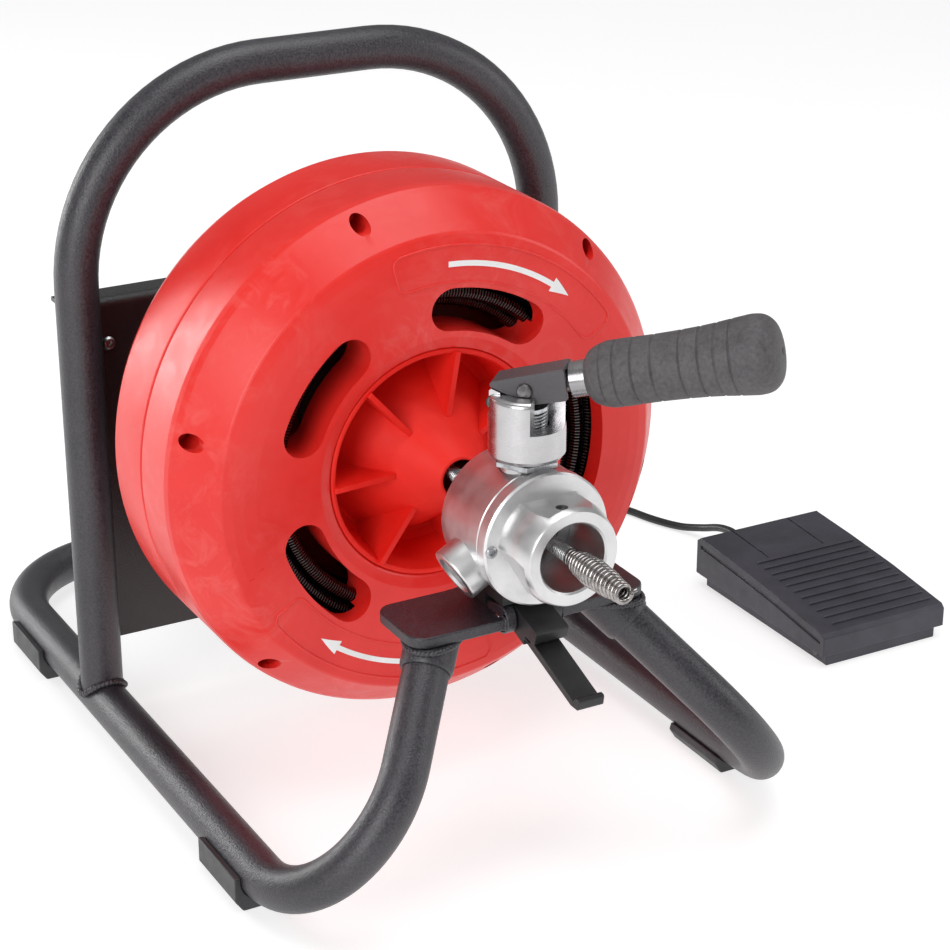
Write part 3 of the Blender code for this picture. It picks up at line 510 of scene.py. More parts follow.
def drum_red():
    """Satin red plastic with cloudy rub marks and a light orange peel."""
    deep, usual, rubbed = (0.70, 0.013, 0.009), (0.76, 0.022, 0.016), (0.80, 0.150, 0.130)
    paint = Paint("drum_red", usual, 0.36, 0.0, Specular_IOR_Level=0.52)
    base = paint.tint(paint.noise(9.0, 5.0, 0.6, 0.6), deep, usual, 0.36, 0.60)
    scuffs = paint.noise(34.0, 8.0, 0.72, 1.6)
    patch = paint.noise(6.5, 2.0, 0.5)
    marks = paint.math("MULTIPLY", paint.remap(scuffs, 0.48, 0.70, 0.0, 1.0),
                       paint.remap(patch, 0.44, 0.62, 0.0, 0.5))
    paint.set("Base Color", paint.mix(marks, base, rubbed))
    paint.rough(scuffs, 0.27, 0.46)
    paint.bump(paint.noise(420.0, 3.0, 0.5), 0.00012, 0.35)
    paint.bump(scuffs, 0.0004, 0.06)
    return paint.material


def hub_shaded_red():
    """Satin red for the sunk hub, which sees little of the sky: a copy of the drum's red, painted more
    saturated to stand in for red light bounced inside the hub, with weaker specular as painted shade.
    """
    paint = Paint("hub_shaded_red", (0.78, 0.018, 0.010), 0.5, 0.0, Specular_IOR_Level=0.22)
    paint.colour(paint.noise(16.0, 4.0, 0.6, 0.6), (0.72, 0.013, 0.008), (0.82, 0.024, 0.015), 0.36, 0.62)
    paint.rough(paint.noise(60.0, 4.0, 0.6), 0.44, 0.58)
    paint.bump(paint.noise(420.0, 3.0, 0.5), 0.00012, 0.35)
    return paint.material


def turned_metal(name, centre, way, colour=(0.56, 0.55, 0.56), roughness=0.24, rings=2600.0):
    """Lathe-turned metal: fine rings about the piece's own axis, faint handling marks."""
    paint = Paint(name, colour, roughness, 1.0, Anisotropic=0.35)
    lines = paint.noise(rings, 3.0, 0.7, 0.0, paint.about(centre, way))
    cloud = paint.noise(45.0, 4.0, 0.6)
    paint.colour(cloud, [c * 0.86 for c in colour], colour, 0.35, 0.6)
    worn = paint.remap(paint.blend(lines, 0.5, cloud), 0.35, 0.65, roughness - 0.07, roughness + 0.12)
    paint.set("Roughness", worn)
    paint.bump(lines, 0.00002, 0.8)
    return paint.material


def bright_wire(name, colour, roughness=0.2):
    """Drawn wire: bright with small dark smears of grease between the turns."""
    paint = Paint(name, colour, roughness, 1.0)
    smear = paint.noise(210.0, 4.0, 0.65)
    paint.colour(smear, [c * 0.5 for c in colour], colour, 0.32, 0.58)
    paint.rough(smear, roughness + 0.14, roughness - 0.04)
    paint.bump(paint.noise(2400.0, 2.0), 0.00003, 0.4)
    return paint.material


def stored_wire():
    """Oiled cable lying in the drum: black, with fine turns whose crests carry painted highlights."""
    paint = Paint("oiled_cable", (0.03, 0.029, 0.03), 0.24, 1.0)
    away = paint.vector("SUBTRACT", paint.place, (DRUM_CENTRE + ORIGIN) * MM).outputs[0]
    spot = paint.node("ShaderNodeSeparateXYZ", Vector=away)
    turn = paint.math("ARCTAN2", spot.outputs["X"], spot.outputs["Z"])
    ridge_bump_and_painted_shading = paint.remap(paint.math("SINE", paint.math("MULTIPLY", turn, 330.0)), -1.0, 1.0, 0.0, 1.0)
    # Painted highlight: the turn wave lightens the black toward grey on each turn's crest, standing in for
    # glints.
    paint.colour(ridge_bump_and_painted_shading, (0.006, 0.006, 0.006), (0.16, 0.155, 0.155), 0.45, 0.95)
    paint.rough(paint.noise(210.0, 4.0, 0.6), 0.18, 0.36)
    paint.bump(ridge_bump_and_painted_shading, 0.0005, 0.8)
    return paint.material


def rubber(name, dark, light):
    """Soft moulded rubber, mottled by handling."""
    paint = Paint(name, dark, 0.58, 0.0, Specular_IOR_Level=0.45)
    blotch = paint.noise(48.0, 6.0, 0.7, 1.1)
    speck = paint.noise(420.0, 3.0, 0.65)
    paint.colour(paint.blend(blotch, 0.5, speck), dark, light, 0.34, 0.72)
    paint.rough(blotch, 0.50, 0.68)
    paint.bump(speck, 0.0002, 0.35)
    paint.bump(paint.noise(1700.0, 2.0), 0.00009, 0.5)
    return paint.material


def windings():
    """Enamelled copper wire laid side by side, with painted shade in the grooves between the wires."""
    paint = Paint("copper_windings", (0.55, 0.2, 0.08), 0.3, 0.9)
    ridge_bump_and_painted_shading = paint.node("ShaderNodeTexWave", Vector=paint.place, Scale=300.0, Distortion=1.0).outputs["Fac"]
    # Painted shade: the wave darkens the copper toward brown in the grooves between wires.
    paint.colour(ridge_bump_and_painted_shading, (0.20, 0.06, 0.02), (0.62, 0.26, 0.11), 0.1, 0.8)
    paint.bump(ridge_bump_and_painted_shading, 0.0003, 0.8)
    return paint.material


DRUM_CENTRE = Vector((0, 0, AXIS_Z))
MOTOR_CENTRE = Vector((0, 0, AXIS_Z - MOTOR_DROP))
FEED_CENTRE = Vector((0, FEED_Y, AXIS_Z))
BOSS_CENTRE = Vector((0, BOSS_Y, AXIS_Z))
GRIP_WAY = LEVER_FRAME.to_3x3() @ Vector((math.cos(GRIP_RISE), 0, math.sin(GRIP_RISE)))
COAT = powder_coat("frame_powder_coat", (0.009, 0.008, 0.011), (0.046, 0.041, 0.051), 820.0)
BLACK_PAINT = powder_coat("plate_black_paint", (0.004, 0.003, 0.0035), (0.010, 0.008, 0.009), 900.0)
CHANNEL_PAINT = powder_coat("lever_grey_paint", (0.050, 0.046, 0.051), (0.078, 0.071, 0.078), 1900.0)
RED = drum_red()
# The hub's copy of the drum red carries painted bounce light and painted shade.
HUB_SHADED_RED = hub_shaded_red()
WHITE = moulded("marking_white", (0.80, 0.80, 0.80), (0.90, 0.90, 0.90), 0.4)
BLACK = moulded("moulded_black", (0.010, 0.010, 0.011), (0.024, 0.024, 0.026), 0.42)
FOOT_PLASTIC = moulded("clip_plastic", (0.020, 0.020, 0.022), (0.042, 0.041, 0.045), 0.46)
PEDAL_PLASTIC = moulded("pedal_plastic", (0.027, 0.026, 0.036), (0.048, 0.045, 0.063), 0.42, 1300.0,
                        0.00016)
GRIP = rubber("grip_rubber", (0.050, 0.047, 0.050), (0.125, 0.116, 0.122))
BELT = rubber("belt_rubber", (0.010, 0.010, 0.010), (0.022, 0.022, 0.022))
CORD_SHEATH = moulded("cord_sheath", (0.010, 0.010, 0.011), (0.020, 0.020, 0.022), 0.38)
GUIDE_METAL = turned_metal("turned_guide", DRUM_CENTRE, BACK, (0.74, 0.735, 0.74), 0.34)
POST_METAL = turned_metal("turned_post", FEED_CENTRE, UP)
BORE_METAL = turned_metal("bored_guide", DRUM_CENTRE, BACK, (0.42, 0.42, 0.44), 0.34)
STEEL = turned_metal("drawn_steel", DRUM_CENTRE, BACK, (0.56, 0.56, 0.57), 0.24, 900.0)
ROD_METAL = turned_metal("lever_rod_steel", LEVER_FRAME @ GRIP_START, GRIP_WAY, (0.36, 0.35, 0.36),
                         0.24, 900.0)
DARK_STEEL = bright_wire("dark_steel", (0.16, 0.155, 0.155), 0.34)
SCREW_STEEL = bright_wire("screw_steel", (0.55, 0.56, 0.58), 0.24)
WIRE = bright_wire("tip_wire", (0.40, 0.38, 0.37))
CABLE = bright_wire("cable_wire", (0.50, 0.50, 0.51), 0.22)
STORED = stored_wire()
COPPER = windings()


# ---------------------------------------------------------------- fasteners

def socket_screw(bm, place, way, radius, height):
    """Button-head screw with a six-sided socket, standing on a face."""
    outline = soften([(0, -0.6), (radius, -0.6), (radius, height * 0.45), (radius * 0.72, height),
                      (radius * 0.50, height)], 0.35, 3, closed=False)
    lathe(bm, outline, place, way, 28)
    turn = 0.3
    rings = [circle(place + way * along, way, radius * size, 6, turn)
             for size, along in ((0.50, height), (0.46, height - 0.25), (0.44, height * 0.1))]
    loft(bm, rings, ends=False)
    bm.faces.new([bm.verts.new(spot) for spot in rings[-1]])
    rim = circle(place + way * height, way, radius * 0.5, 24, turn)
    hexagon = [rings[0][k // 4].lerp(rings[0][(k // 4 + 1) % 6], (k % 4) / 4) for k in range(24)]
    loft(bm, [rim, hexagon], ends=False)


def screws(name, places, way, radius, height):
    bm = bmesh.new()
    for place in places:
        socket_screw(bm, place, way, radius, height)
    piece(name, bm, "root", SCREW_STEEL, sharp=40)


# ---------------------------------------------------------------- stage

CAMERA_AT = Vector((-664.85, -1419.1, 805.1))
CAMERA_TARGET = Vector((117.75, 0, 122.0))
CAMERA_LENS = 94.49
WORLD_LIGHT = 0.35
PAPER_GLOW = 0.66
SOFTBOXES = {
    "key_left": ((-1.95, -1.35, 1.15), (1.1, 1.5), 27.0),
    "top": ((0.1, -0.2, 2.3), (1.8, 1.4), 22.0),
    "fill_right": ((2.2, -1.2, 1.2), (0.9, 1.4), 12.0),
    "rear_left": ((-1.3, 2.0, 0.65), (0.9, 1.1), 19.0),
}


def aim(name, data, place, target):
    made = bpy.data.objects.new(name, data)
    made.location = place
    made.rotation_euler = (target - place).to_track_quat("-Z", "Y").to_euler()
    bpy.context.scene.collection.objects.link(made)
    return made


def make_stage():
    scene = bpy.context.scene
    data = bpy.data.cameras.new("camera")
    data.lens = CAMERA_LENS
    data.sensor_width = 36.0
    scene.camera = aim("camera", data, (CAMERA_AT + ORIGIN) * MM, (CAMERA_TARGET + ORIGIN) * MM)
    for name, (place, size, power) in SOFTBOXES.items():
        data = bpy.data.lights.new(name, "AREA")
        data.shape = "RECTANGLE"
        data.size, data.size_y = size
        data.energy = power
        aim(name, data, Vector(place), Vector((0.0, 0.0, 0.2)))
    world = bpy.data.worlds.new("studio")
    world.use_nodes = True
    sky = world.node_tree.nodes["Background"]
    sky.inputs["Color"].default_value = (1.0, 1.0, 1.0, 1.0)
    sky.inputs["Strength"].default_value = WORLD_LIGHT
    scene.world = world
    scene.view_settings.view_transform = "Standard"
    scene.view_settings.look = "None"
    floor = made_object("floor", block((-16000, -16000, -20), (16000, 16000, 0)))
    paper = Paint("floor_paper", (0.50, 0.50, 0.50), 0.55)
    paper.rough(paper.noise(3.0), 0.5, 0.6)
    paper.shader.inputs["Emission Color"].default_value = (1.0, 1.0, 1.0, 1.0)
    paper.shader.inputs["Emission Strength"].default_value = PAPER_GLOW
    floor.data.materials.append(paper.material)


# ---------------------------------------------------------------- pedal cord

FALL = [Vector(p) for p in ((152.7, 40, 140), (167, 40, 139.5), (180, 41, 129), (188, 45, 108),
                            (192, 53, 77), (194, 65, 43), (195, 82, 16), (194.5, 101, 5),
                            (192, 122, CORD_Z), (190, 145, CORD_Z))]
RUN = [Vector(p) for p in ((285, 185.5, CORD_Z), (301, 169, CORD_Z), (314.5, 150, CORD_Z),
                           (326, 124, CORD_Z), (334, 99, CORD_Z), (344, 76, 4.0), (351, 56, 9.0),
                           (354, 38, 15.5), (354.5, 24, 18.6), (354.5, 14.4, RELIEF_Z))]


def ease(u):
    return u * u * (3 - 2 * u)


def smooth_route(points, spacing):
    """Even points on a Catmull-Rom curve through the route's own points."""
    ends = [2 * points[0] - points[1]] + points + [2 * points[-1] - points[-2]]
    fine = []
    for a, b, c, d in zip(ends, ends[1:], ends[2:], ends[3:]):
        for k in range(24):
            t = k / 24
            fine.append(0.5 * ((2 * b) + (c - a) * t + (2 * a - 5 * b + 4 * c - d) * t * t
                               + (3 * b - a - 3 * c + d) * t ** 3))
    fine.append(points[-1])
    lengths = [0.0]
    for a, b in zip(fine, fine[1:]):
        lengths.append(lengths[-1] + (b - a).length)
    count = max(2, round(lengths[-1] / spacing))
    even, at = [], 0
    for k in range(count + 1):
        want = lengths[-1] * k / count
        while at < len(fine) - 2 and lengths[at + 1] < want:
            at += 1
        span = lengths[at + 1] - lengths[at]
        even.append(fine[at].lerp(fine[at + 1], (want - lengths[at]) / span if span else 0.0))
    return even


def coil_route():
    """Two layers: in to the eye of the coil, up, out again, and off over the rim."""
    low, high = CORD_Z, CORD_Z + 2 * CORD_R
    inner, outer, top, turns_in_all = 28.6, 39.4, high + 0.1, 4.375
    stages = ((0.2, BESIDE_COIL, COIL_OUT_R, low, low), (1.9, COIL_OUT_R, inner, low, low),
              (0.2, inner, COIL_IN_R, low, high), (1.9, COIL_IN_R, outer, high, top))
    turns = 0.0
    route = []

    def spot(radius, height):
        angle = math.pi - math.tau * turns
        return COIL_CENTRE + Vector((radius * math.cos(angle), radius * math.sin(angle), height))

    for length, r_start, r_end, z_start, z_end in stages:
        steps = max(4, round(length * 24))
        for k in range(steps):
            u = k / steps
            bent = ease(u) if length < 1 else u
            route.append(spot(r_start + (r_end - r_start) * bent, z_start + (z_end - z_start) * bent))
            turns += length / steps
    last = turns_in_all - turns
    for k in range(7):
        u = math.pi / 2 * k / 6
        route.append(spot(outer + (BESIDE_COIL - outer) * math.sin(u), low + (top - low) * math.cos(u)))
        turns += last / 6
    return route


def make_cord():
    route = smooth_route(FALL + coil_route() + RUN, CORD_R)
    curve = bpy.data.curves.new("pedal_cord", "CURVE")
    curve.dimensions = "3D"
    curve.bevel_depth = CORD_R * MM
    curve.bevel_resolution = 4
    curve.use_fill_caps = True
    spline = curve.splines.new("POLY")
    spline.points.add(len(route) - 1)
    for point, place in zip(spline.points, route):
        point.co = (*((place + ORIGIN) * MM), 1.0)
    spline.use_smooth = True
    curve.materials.append(CORD_SHEATH)
    cord = bpy.data.objects.new("pedal_cord", curve)
    bpy.context.scene.collection.objects.link(cord)
    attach(cord, "root")
    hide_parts("pedal_cord_fall", "pedal_cord_coil", "pedal_cord_run")
    length = sum((b - a).length for a, b in zip(route, route[1:])) * MM
    bm = bmesh.new()
    outer = soften([(24.0, 0.02), (44.0, 0.02), (44.0, 13.5), (24.0, 13.5)], 3.0)
    inner = soften([(24.8, 0.15), (43.2, 0.15), (43.2, 12.7), (24.8, 12.7)], 2.4)
    turn = Matrix.Translation(COIL_CENTRE) @ Matrix.Rotation(math.radians(-60), 4, "Z")
    rings = []
    for outline, y in ((outer, -5.5), (outer, 5.5), (inner, 5.5), (inner, -5.5), (outer, -5.5)):
        rings.append([turn @ Vector((x, y, z)) for x, z in outline])
    loft(bm, rings, ends=False)
    bmesh.ops.remove_doubles(bm, verts=bm.verts[:], dist=0.001)
    tie = piece("cord_tie", bm, "root", BLACK)
    return length


# ---------------------------------------------------------------- carrying frame

def level_tube(path, radius, height, ends):
    """A tube whose listed ends are slid along it to a level cut."""
    sides = 48
    bm = swept(path, radius, sides)
    bm.verts.ensure_lookup_table()
    for end in ends:
        way = (path[1] - path[0]).normalized() if end == 0 else (path[-1] - path[-2]).normalized()
        first = 0 if end == 0 else len(bm.verts) - sides
        for vert in bm.verts[first:first + sides]:
            vert.co += way * ((height - vert.co.z) / way.z)
    return bm


def bead(bm, route, size):
    """A weld bead: a round rib with the small ripples of the pass."""
    fine = smooth_route(route, 0.9)
    radii = [size * (1 + 0.16 * math.sin(k * 2.1) + 0.07 * math.sin(k * 0.53)) for k in range(len(fine))]
    sweep(bm, fine, radii, 14)


def make_frame():
    end_z = SADDLE_TOP - SADDLE_T - 0.3
    corner = Vector((-HOOP_HALF, BASE_FRONT_Y, TUBE_Z))
    riser_end = corner + RISER_WAY * ((end_z - TUBE_Z) / RISER_WAY.z)
    half = [riser_end, corner, Vector((-HOOP_HALF, BASE_REAR_Y, TUBE_Z))]
    mirror = [Vector((-p.x, p.y, p.z)) for p in reversed(half)]
    path = rounded_path(half + mirror, [BASE_FRONT_R, BASE_REAR_R, BASE_REAR_R, BASE_FRONT_R])
    tube = level_tube(path, TUBE_R, end_z, (0, 1))
    piece("base_tube_skin", tube, "root", COAT, ["base_tube"])
    for side, label in ((-1, "left"), (1, "right")):
        way = Vector((-side * RISER_WAY.x, RISER_WAY.y, RISER_WAY.z))
        top = Vector((-side * riser_end.x, riser_end.y, riser_end.z))
        collar = level_tube([top - way * down for down in (26, 24.4, 22.8, 0)],
                            [TUBE_R + more for more in (0.9, 1.7, 2.0, 2.2)], end_z, (1,))
        piece("riser_collar_skin_" + label, collar, "root", COAT, ["riser_collar_" + label])
        lean = Vector((way.x, way.y, 0)).normalized()
        wide = TUBE_R + 2.6
        long = wide / way.z
        ring = [top + lean * (long * math.cos(a) - 1.6) + UP.cross(lean) * (wide * math.sin(a)) - UP * 1.3
                for a in [math.tau * k / 40 for k in range(41)]]
        bm = bmesh.new()
        bead(bm, ring, 1.7)
        piece("riser_weld_" + label, bm, "root", COAT)
    corners = [Vector((x, 0, z)) for x, z in ((-HOOP_HALF, TUBE_Z + 3), (-HOOP_HALF, HOOP_TOP),
                                              (HOOP_HALF, HOOP_TOP), (HOOP_HALF, TUBE_Z + 3))]
    tube = swept(rounded_path(corners, [HOOP_BEND_R, HOOP_BEND_R]), TUBE_R, 48)
    piece("hoop_skin", tube, "root", COAT, ["hoop_handle_tube"])
    bm = bmesh.new()
    out = TUBE_R + 0.6
    for side in (-1, 1):
        bead(bm, [Vector((side * HOOP_HALF + out * math.cos(a), out * math.sin(a),
                          TUBE_Z + 0.6 + math.hypot(4.0, out * math.sin(a))))
                  for a in [math.tau * k / 48 for k in range(49)]], 2.1)
    piece("hoop_welds", bm, "root", COAT)


def make_feet():
    hug = arc((0, 0), TUBE_R + 0.1, -35, -190, 28)
    outline = [(-18, 3), (-18, -13), (-13, -TUBE_Z), (10, -TUBE_Z), (15, -12), (13.5, -7.5)]
    outline = outline[:1] + soften(outline, 2.2, 5)[6:-6] + outline[-1:]
    for side, label in ((-1, "left"), (1, "right")):
        points = [(side * (HOOP_HALF - u), TUBE_Z + v) for u, v in outline + hug]
        for y, end in ((FOOT_FRONT_Y, "front"), (FOOT_REAR_Y, "rear")):
            name = "foot_%s_%s" % (end, label)
            clip = extruded(points, "xz", y, y + FOOT_LENGTH)
            piece(name + "_clip", clip, "root", FOOT_PLASTIC, [name], bevel=0.8)


def make_plate():
    back = PLATE_Y + PLATE_T
    lip = PLATE_Y + PLATE_FLANGE
    outline = [(PLATE_Y, PLATE_LOW), (back, PLATE_LOW)]
    outline += arc((back + 2.5, PLATE_TOP - PLATE_T - 2.5), 2.5, 180, 90, 6)
    outline += [(lip, PLATE_TOP - PLATE_T), (lip, PLATE_TOP)]
    outline += arc((PLATE_Y + 5.5, PLATE_TOP - 5.5), 5.5, 90, 180, 8)
    plate = made_object("plate_skin", extruded(outline, "yz", -PLATE_HALF, PLATE_HALF))
    hole = [(0, -5), (9, -5), (9, 10), (0, 10)]
    carve(plate, turned(hole, MOTOR_CENTRE + BACK * PLATE_Y, BACK, 48))
    dress(plate, "root", BLACK_PAINT, ["mounting_plate"], bevel=0.6)
    screws("plate_screws", [Vector((x, PLATE_Y, 262)) for x in (-143, 143)], FORWARD, 4.5, 2.6)


def rounded_slab(half, front, back, corner):
    wide = half - corner
    right = arc((wide, front + corner), corner, -90, 0, 8) + arc((wide, back - corner), corner, 0, 90, 8)
    return right + [(-x, y) for x, y in reversed(right)]


def make_saddle():
    low = SADDLE_TOP - SADDLE_T
    notch_y = LATCH_Y + 11.0
    outline = rounded_slab(SADDLE_HALF, SADDLE_FRONT_Y, SADDLE_REAR_Y, 11.0)
    notch = [(-17, SADDLE_FRONT_Y), (-17, notch_y), (17, notch_y), (17, SADDLE_FRONT_Y)]
    saddle = made_object("saddle_skin", extruded(outline + notch, "xy", low, SADDLE_TOP))
    lug = arc((LATCH_Y, LATCH_Z), 9.0, 90, 270, 20)
    lug += [(LATCH_Y + 16, low - 2), (LATCH_Y + 16, SADDLE_TOP + 3)]
    for left, right in ((-19.0, -12.0), (12.0, 19.0)):
        carve(saddle, extruded(lug, "yz", left, right), "UNION")
    dress(saddle, "root", COAT, ["front_saddle"], bevel=1.2)
    pin = soften([(0, -21.2), (3.6, -21.2), (3.6, -19.4), (2.7, -19.2), (2.7, 19.2), (3.6, 19.4),
                  (3.6, 21.2), (0, 21.2)], 0.5, 3, closed=False)
    piece("latch_pin_skin", turned(pin, Vector((0, LATCH_Y, LATCH_Z)), RIGHT), "root", SCREW_STEEL,
          ["latch_pin"])


def make_release_lever():
    outline = arc((LATCH_Y, LATCH_Z), 8.2, 100, -95, 24)
    arm = [(-342, 131), (-350, 131), (-351.2, 138), (-347.2, 138.5), (-345, 135.2),
           (LATCH_Y - 12, LATCH_Z - 6), (LATCH_Y - 26, LATCH_Z - 8), (LATCH_Y - 29, LATCH_Z + 1)]
    arm = soften([outline[-1]] + arm + [outline[0]], 2.0, 4, closed=False)
    lever = made_object("latch_skin", extruded(outline[1:-1] + arm, "yz", -11.0, 11.0))
    for left, right in ((-14, -8.5), (8.5, 14)):
        carve(lever, block((left, -360, 120), (right, LATCH_Y - 14, 152)))
    dress(lever, "latch", BLACK, ["release_lever"], bevel=0.8)


# ---------------------------------------------------------------- drum

FRONT_OUT = [(DRUM_R, PARTING_Y - 0.15), (DRUM_R, -140), (169.6, -144.6), (167.4, -148.0),
             (165.0, -151.0), (148.6, -171.6), (147, -172.7), (141, -174.2), (134, -174.9),
             (126, -175.0), (116, -174.4), FACE_IN, (OPENING_R, -168)]


def face_y(radius):
    """Height of the drum's front face at a distance from its axis."""
    points = [(r, y) for r, y in FRONT_OUT[2:]]
    for (r_out, y_out), (r_in, y_in) in zip(points, points[1:]):
        if r_in <= radius <= r_out:
            return y_in + (y_out - y_in) * (radius - r_in) / (r_out - r_in)
    return points[-1][1]


def slot_outline(half, spread, at):
    """A bent slot about the drum's axis with round ends."""
    outline = []
    for radius, way in ((SLOT_MID_R + half, 1), (SLOT_MID_R - half, -1)):
        for n in range(13):
            a = at + way * spread * (n / 6 - 1)
            outline.append((radius * math.cos(a), AXIS_Z + radius * math.sin(a)))
        end = at + way * spread
        centre = (SLOT_MID_R * math.cos(end), AXIS_Z + SLOT_MID_R * math.sin(end))
        start = math.degrees(end) + (0 if way > 0 else 180)
        outline += arc(centre, half, start, start + 180, 14)[1:-1]
    return outline


def around(first, count):
    """Angles of even places round the drum's axis."""
    return [first + math.tau * k / count for k in range(count)]


def drum_turn(angle):
    """The matrix that turns an xy drawing, made at the drum's right, to an angle round its axis."""
    return Matrix.Translation(DRUM_CENTRE) @ Matrix.Rotation(-angle, 4, "Y")


def make_shells():
    lip, wall_r = DRUM_R - 2.0, DRUM_R - DRUM_WALL
    rear = [(lip, PARTING_Y + 0.4), (DRUM_R, PARTING_Y + 0.9), (DRUM_R, -62), (166, -52), (156, -46),
            (40, -46), (40, -50), (154, -50), (162.5, -55), (wall_r, -64), (wall_r, PARTING_Y + 0.15),
            (lip, PARTING_Y + 0.15)]
    piece("rear_shell_skin", drum_ring(soften(rear, 3.0, 4), 160), "drum", RED, ["drum_rear_shell"],
          sharp=50)

    outer = [(lip, PARTING_Y - 0.15), (lip, PARTING_Y - 0.5), (DRUM_R, PARTING_Y - 1.0)] + FRONT_OUT[1:]
    inner = [(OPENING_R, -162), (130, -171), (144, -167.5), (163, -147), (wall_r, -138),
             (wall_r, PARTING_Y - 0.15)]
    shell = made_object("front_shell_skin", drum_ring(soften(outer + inner, 3.0, 4), 160))
    walls, bands, cups, holes = bmesh.new(), bmesh.new(), bmesh.new(), bmesh.new()
    for at in around(SLOT_FIRST, SLOT_COUNT):
        extrude(walls, slot_outline(SLOT_HALF + 2.2, SLOT_SPREAD, at), "xz", -170.0, -160.5)
        deep = [(x, z) for x, z in slot_outline(SLOT_HALF + 2.0, SLOT_SPREAD, at)
                if math.hypot(x, z - AXIS_Z) < SLOT_MID_R + 5]
        extrude(bands, deep, "xz", -166.5, -140.0)
        extrude(holes, slot_outline(SLOT_HALF, SLOT_SPREAD, at), "xz", -190.0, -130.0)
    for at in around(POCKET_FIRST, POCKET_COUNT):
        middle = DRUM_CENTRE + radial(at, POCKET_R)
        cup = [(5.6, -174), (7.4, -174), (7.4, -132), (0, -132), (0, -134), (5.6, -134)]
        lathe(cups, cup, middle, BACK, 32)
        lathe(holes, [(0, -190), (5.5, -190), (5.5, -134), (0, -134)], middle, BACK, 32)
    carve(shell, walls, "UNION")
    carve(shell, bands, "UNION")
    carve(shell, holes)
    dress(shell, "drum", RED, ["drum_front_shell"], sharp=40)
    for vert in cups.verts:
        if vert.co.y < -170:
            vert.co.y = face_y(math.hypot(vert.co.x, vert.co.z - AXIS_Z)) + 1.0
    piece("pocket_cups", cups, "drum", RED, sharp=40)


def make_cone():
    """A round trough behind the rim and a ribbed hub that rises from it to the cable's hole."""
    outline = [(OPENING_R - 0.05, -167.9), (70.5, -168.0), (65, -132), (60, -126), (14, -196), (12, -196),
               (12, -193), (58.6, -122), (62, -120.5), (68, -129), (OPENING_R - 0.6, -160)]
    cone = made_object("cone_skin", drum_ring(soften(outline, 2.2, 4)))
    ribs = bmesh.new()
    fin = soften([(72.3, -170.5), (29.5, -170.5), (57.5, -124.5), (66.3, -130.5), (72, -160)], 1.5, 4)
    for angle in around(RIB_FIRST, RIB_COUNT):
        extrude(ribs, fin, "xy", -1.7, 1.7, drum_turn(angle))
    carve(cone, ribs, "UNION")
    # The hub takes the red copy with painted bounce light and painted shade.
    dress(cone, "drum", HUB_SHADED_RED, ["drum_inner_cone"], sharp=35)


def face_spot(angle, radius, lift=0.0):
    """A point at a height over the drum's front face."""
    return DRUM_CENTRE + radial(angle, radius) + BACK * (face_y(radius) - lift)


def plaque(bm, middle):
    """A rounded frame line on the drum's face."""
    corner = 6.0
    at, half = math.radians(middle), math.radians(PLAQUE_HALF)
    outline = []
    for radius, other_radius, way in ((PLAQUE_OUT, PLAQUE_IN, 1), (PLAQUE_IN, PLAQUE_OUT, -1)):
        turn = corner / radius
        side = at + way * half
        bends = [math.radians(15 * n) for n in range(7)]
        outline += [(at + way * (half - turn) * (n / 15 - 1), radius) for n in range(31)]
        outline += [(side - way * turn * (1 - math.sin(b)), radius - way * corner * (1 - math.cos(b)))
                    for b in bends[1:]]
        outline += [(side - way * turn * (1 - math.cos(b)), other_radius + way * corner * (1 - math.sin(b)))
                    for b in bends[:-1]]
    path = [face_spot(a, r) for a, r in outline]
    sweep(bm, path + path[:1], 0.75, 10, capped=False)
    bmesh.ops.remove_doubles(bm, verts=bm.verts[:], dist=0.0001)


def turn_arrow(bm, middle):
    """A curved arrow for the turning sense, a thin raised band on the face."""
    radius, start, end, head, head_half = 129.5, middle + 20, middle - 14, 9.0, 4.6
    spots = [(start + (end - start) * n / 24, 1.7) for n in range(25)]
    spots.append((end, head_half))
    spots += [(end - head * 0.7 * n / 6, head_half * (1 - n / 6) + 0.05) for n in range(1, 7)]
    rings = []
    for degrees, half in spots:
        rings.append([face_spot(math.radians(degrees), radius + out * half, lift)
                      for out, lift in ((-1, 0.4), (0, 0.4), (1, 0.4), (1, -0.6), (0, -0.6), (-1, -0.6))])
    loft(bm, rings)


def make_markings():
    lines, arrows = bmesh.new(), bmesh.new()
    for middle in PLAQUE_MIDDLES:
        plaque(lines, middle)
        turn_arrow(arrows, middle)
    piece("drum_panel_lines", lines, "drum", RED, sharp=60)
    piece("drum_turn_arrows", arrows, "drum", WHITE, sharp=60)


def make_stored_cable():
    """Layers of turns: each a spiral between the cone and the wall, then a stack along the wall."""
    path = []
    low_r, high_r = 97.0, 149.0
    steps = 96

    def wind(radius, y):
        angle = -math.tau * len(path) / steps
        path.append(DRUM_CENTRE + radial(angle, radius) + BACK * y)

    for layer, y in enumerate((-151.5, -141.0, -130.5)):
        for k in range(5 * steps):
            u = k / (5 * steps)
            wander = 1.6 * math.sin(len(path) * 0.031) + 0.9 * math.sin(len(path) * 0.113)
            wind(low_r + (high_r - low_r) * (u if layer % 2 == 0 else 1 - u), y + wander)
    for k in range(6 * steps):
        wind(high_r + 4 - 3 * max(0.0, 1 - k / 60), -119.0 + 56.0 * k / (6 * steps))
    piece("stored_cable_turns", swept(path, CABLE_R, 10), "drum", STORED, ["stored_cable"])


# ---------------------------------------------------------------- snake

def keyed(keys, at):
    """A value eased from key to key."""
    for (start, one), (end, two) in zip(keys, keys[1:]):
        if at <= end:
            return one + (two - one) * ease((at - start) / (end - start))
    return keys[-1][1]


def wire_coil(bm, turns, wire, radius_at, y_start, y_end, per_turn, sides):
    """Wire wound about the drum's axis, its outer surface at the given radius."""
    count = round(turns * per_turn)
    path = []
    for k in range(count + 1):
        u = k / count
        spot = DRUM_CENTRE + radial(math.tau * turns * u, radius_at(u) - wire)
        path.append(spot + BACK * (y_start + (y_end - y_start) * u))
    sweep(bm, path, wire, sides)
    return path


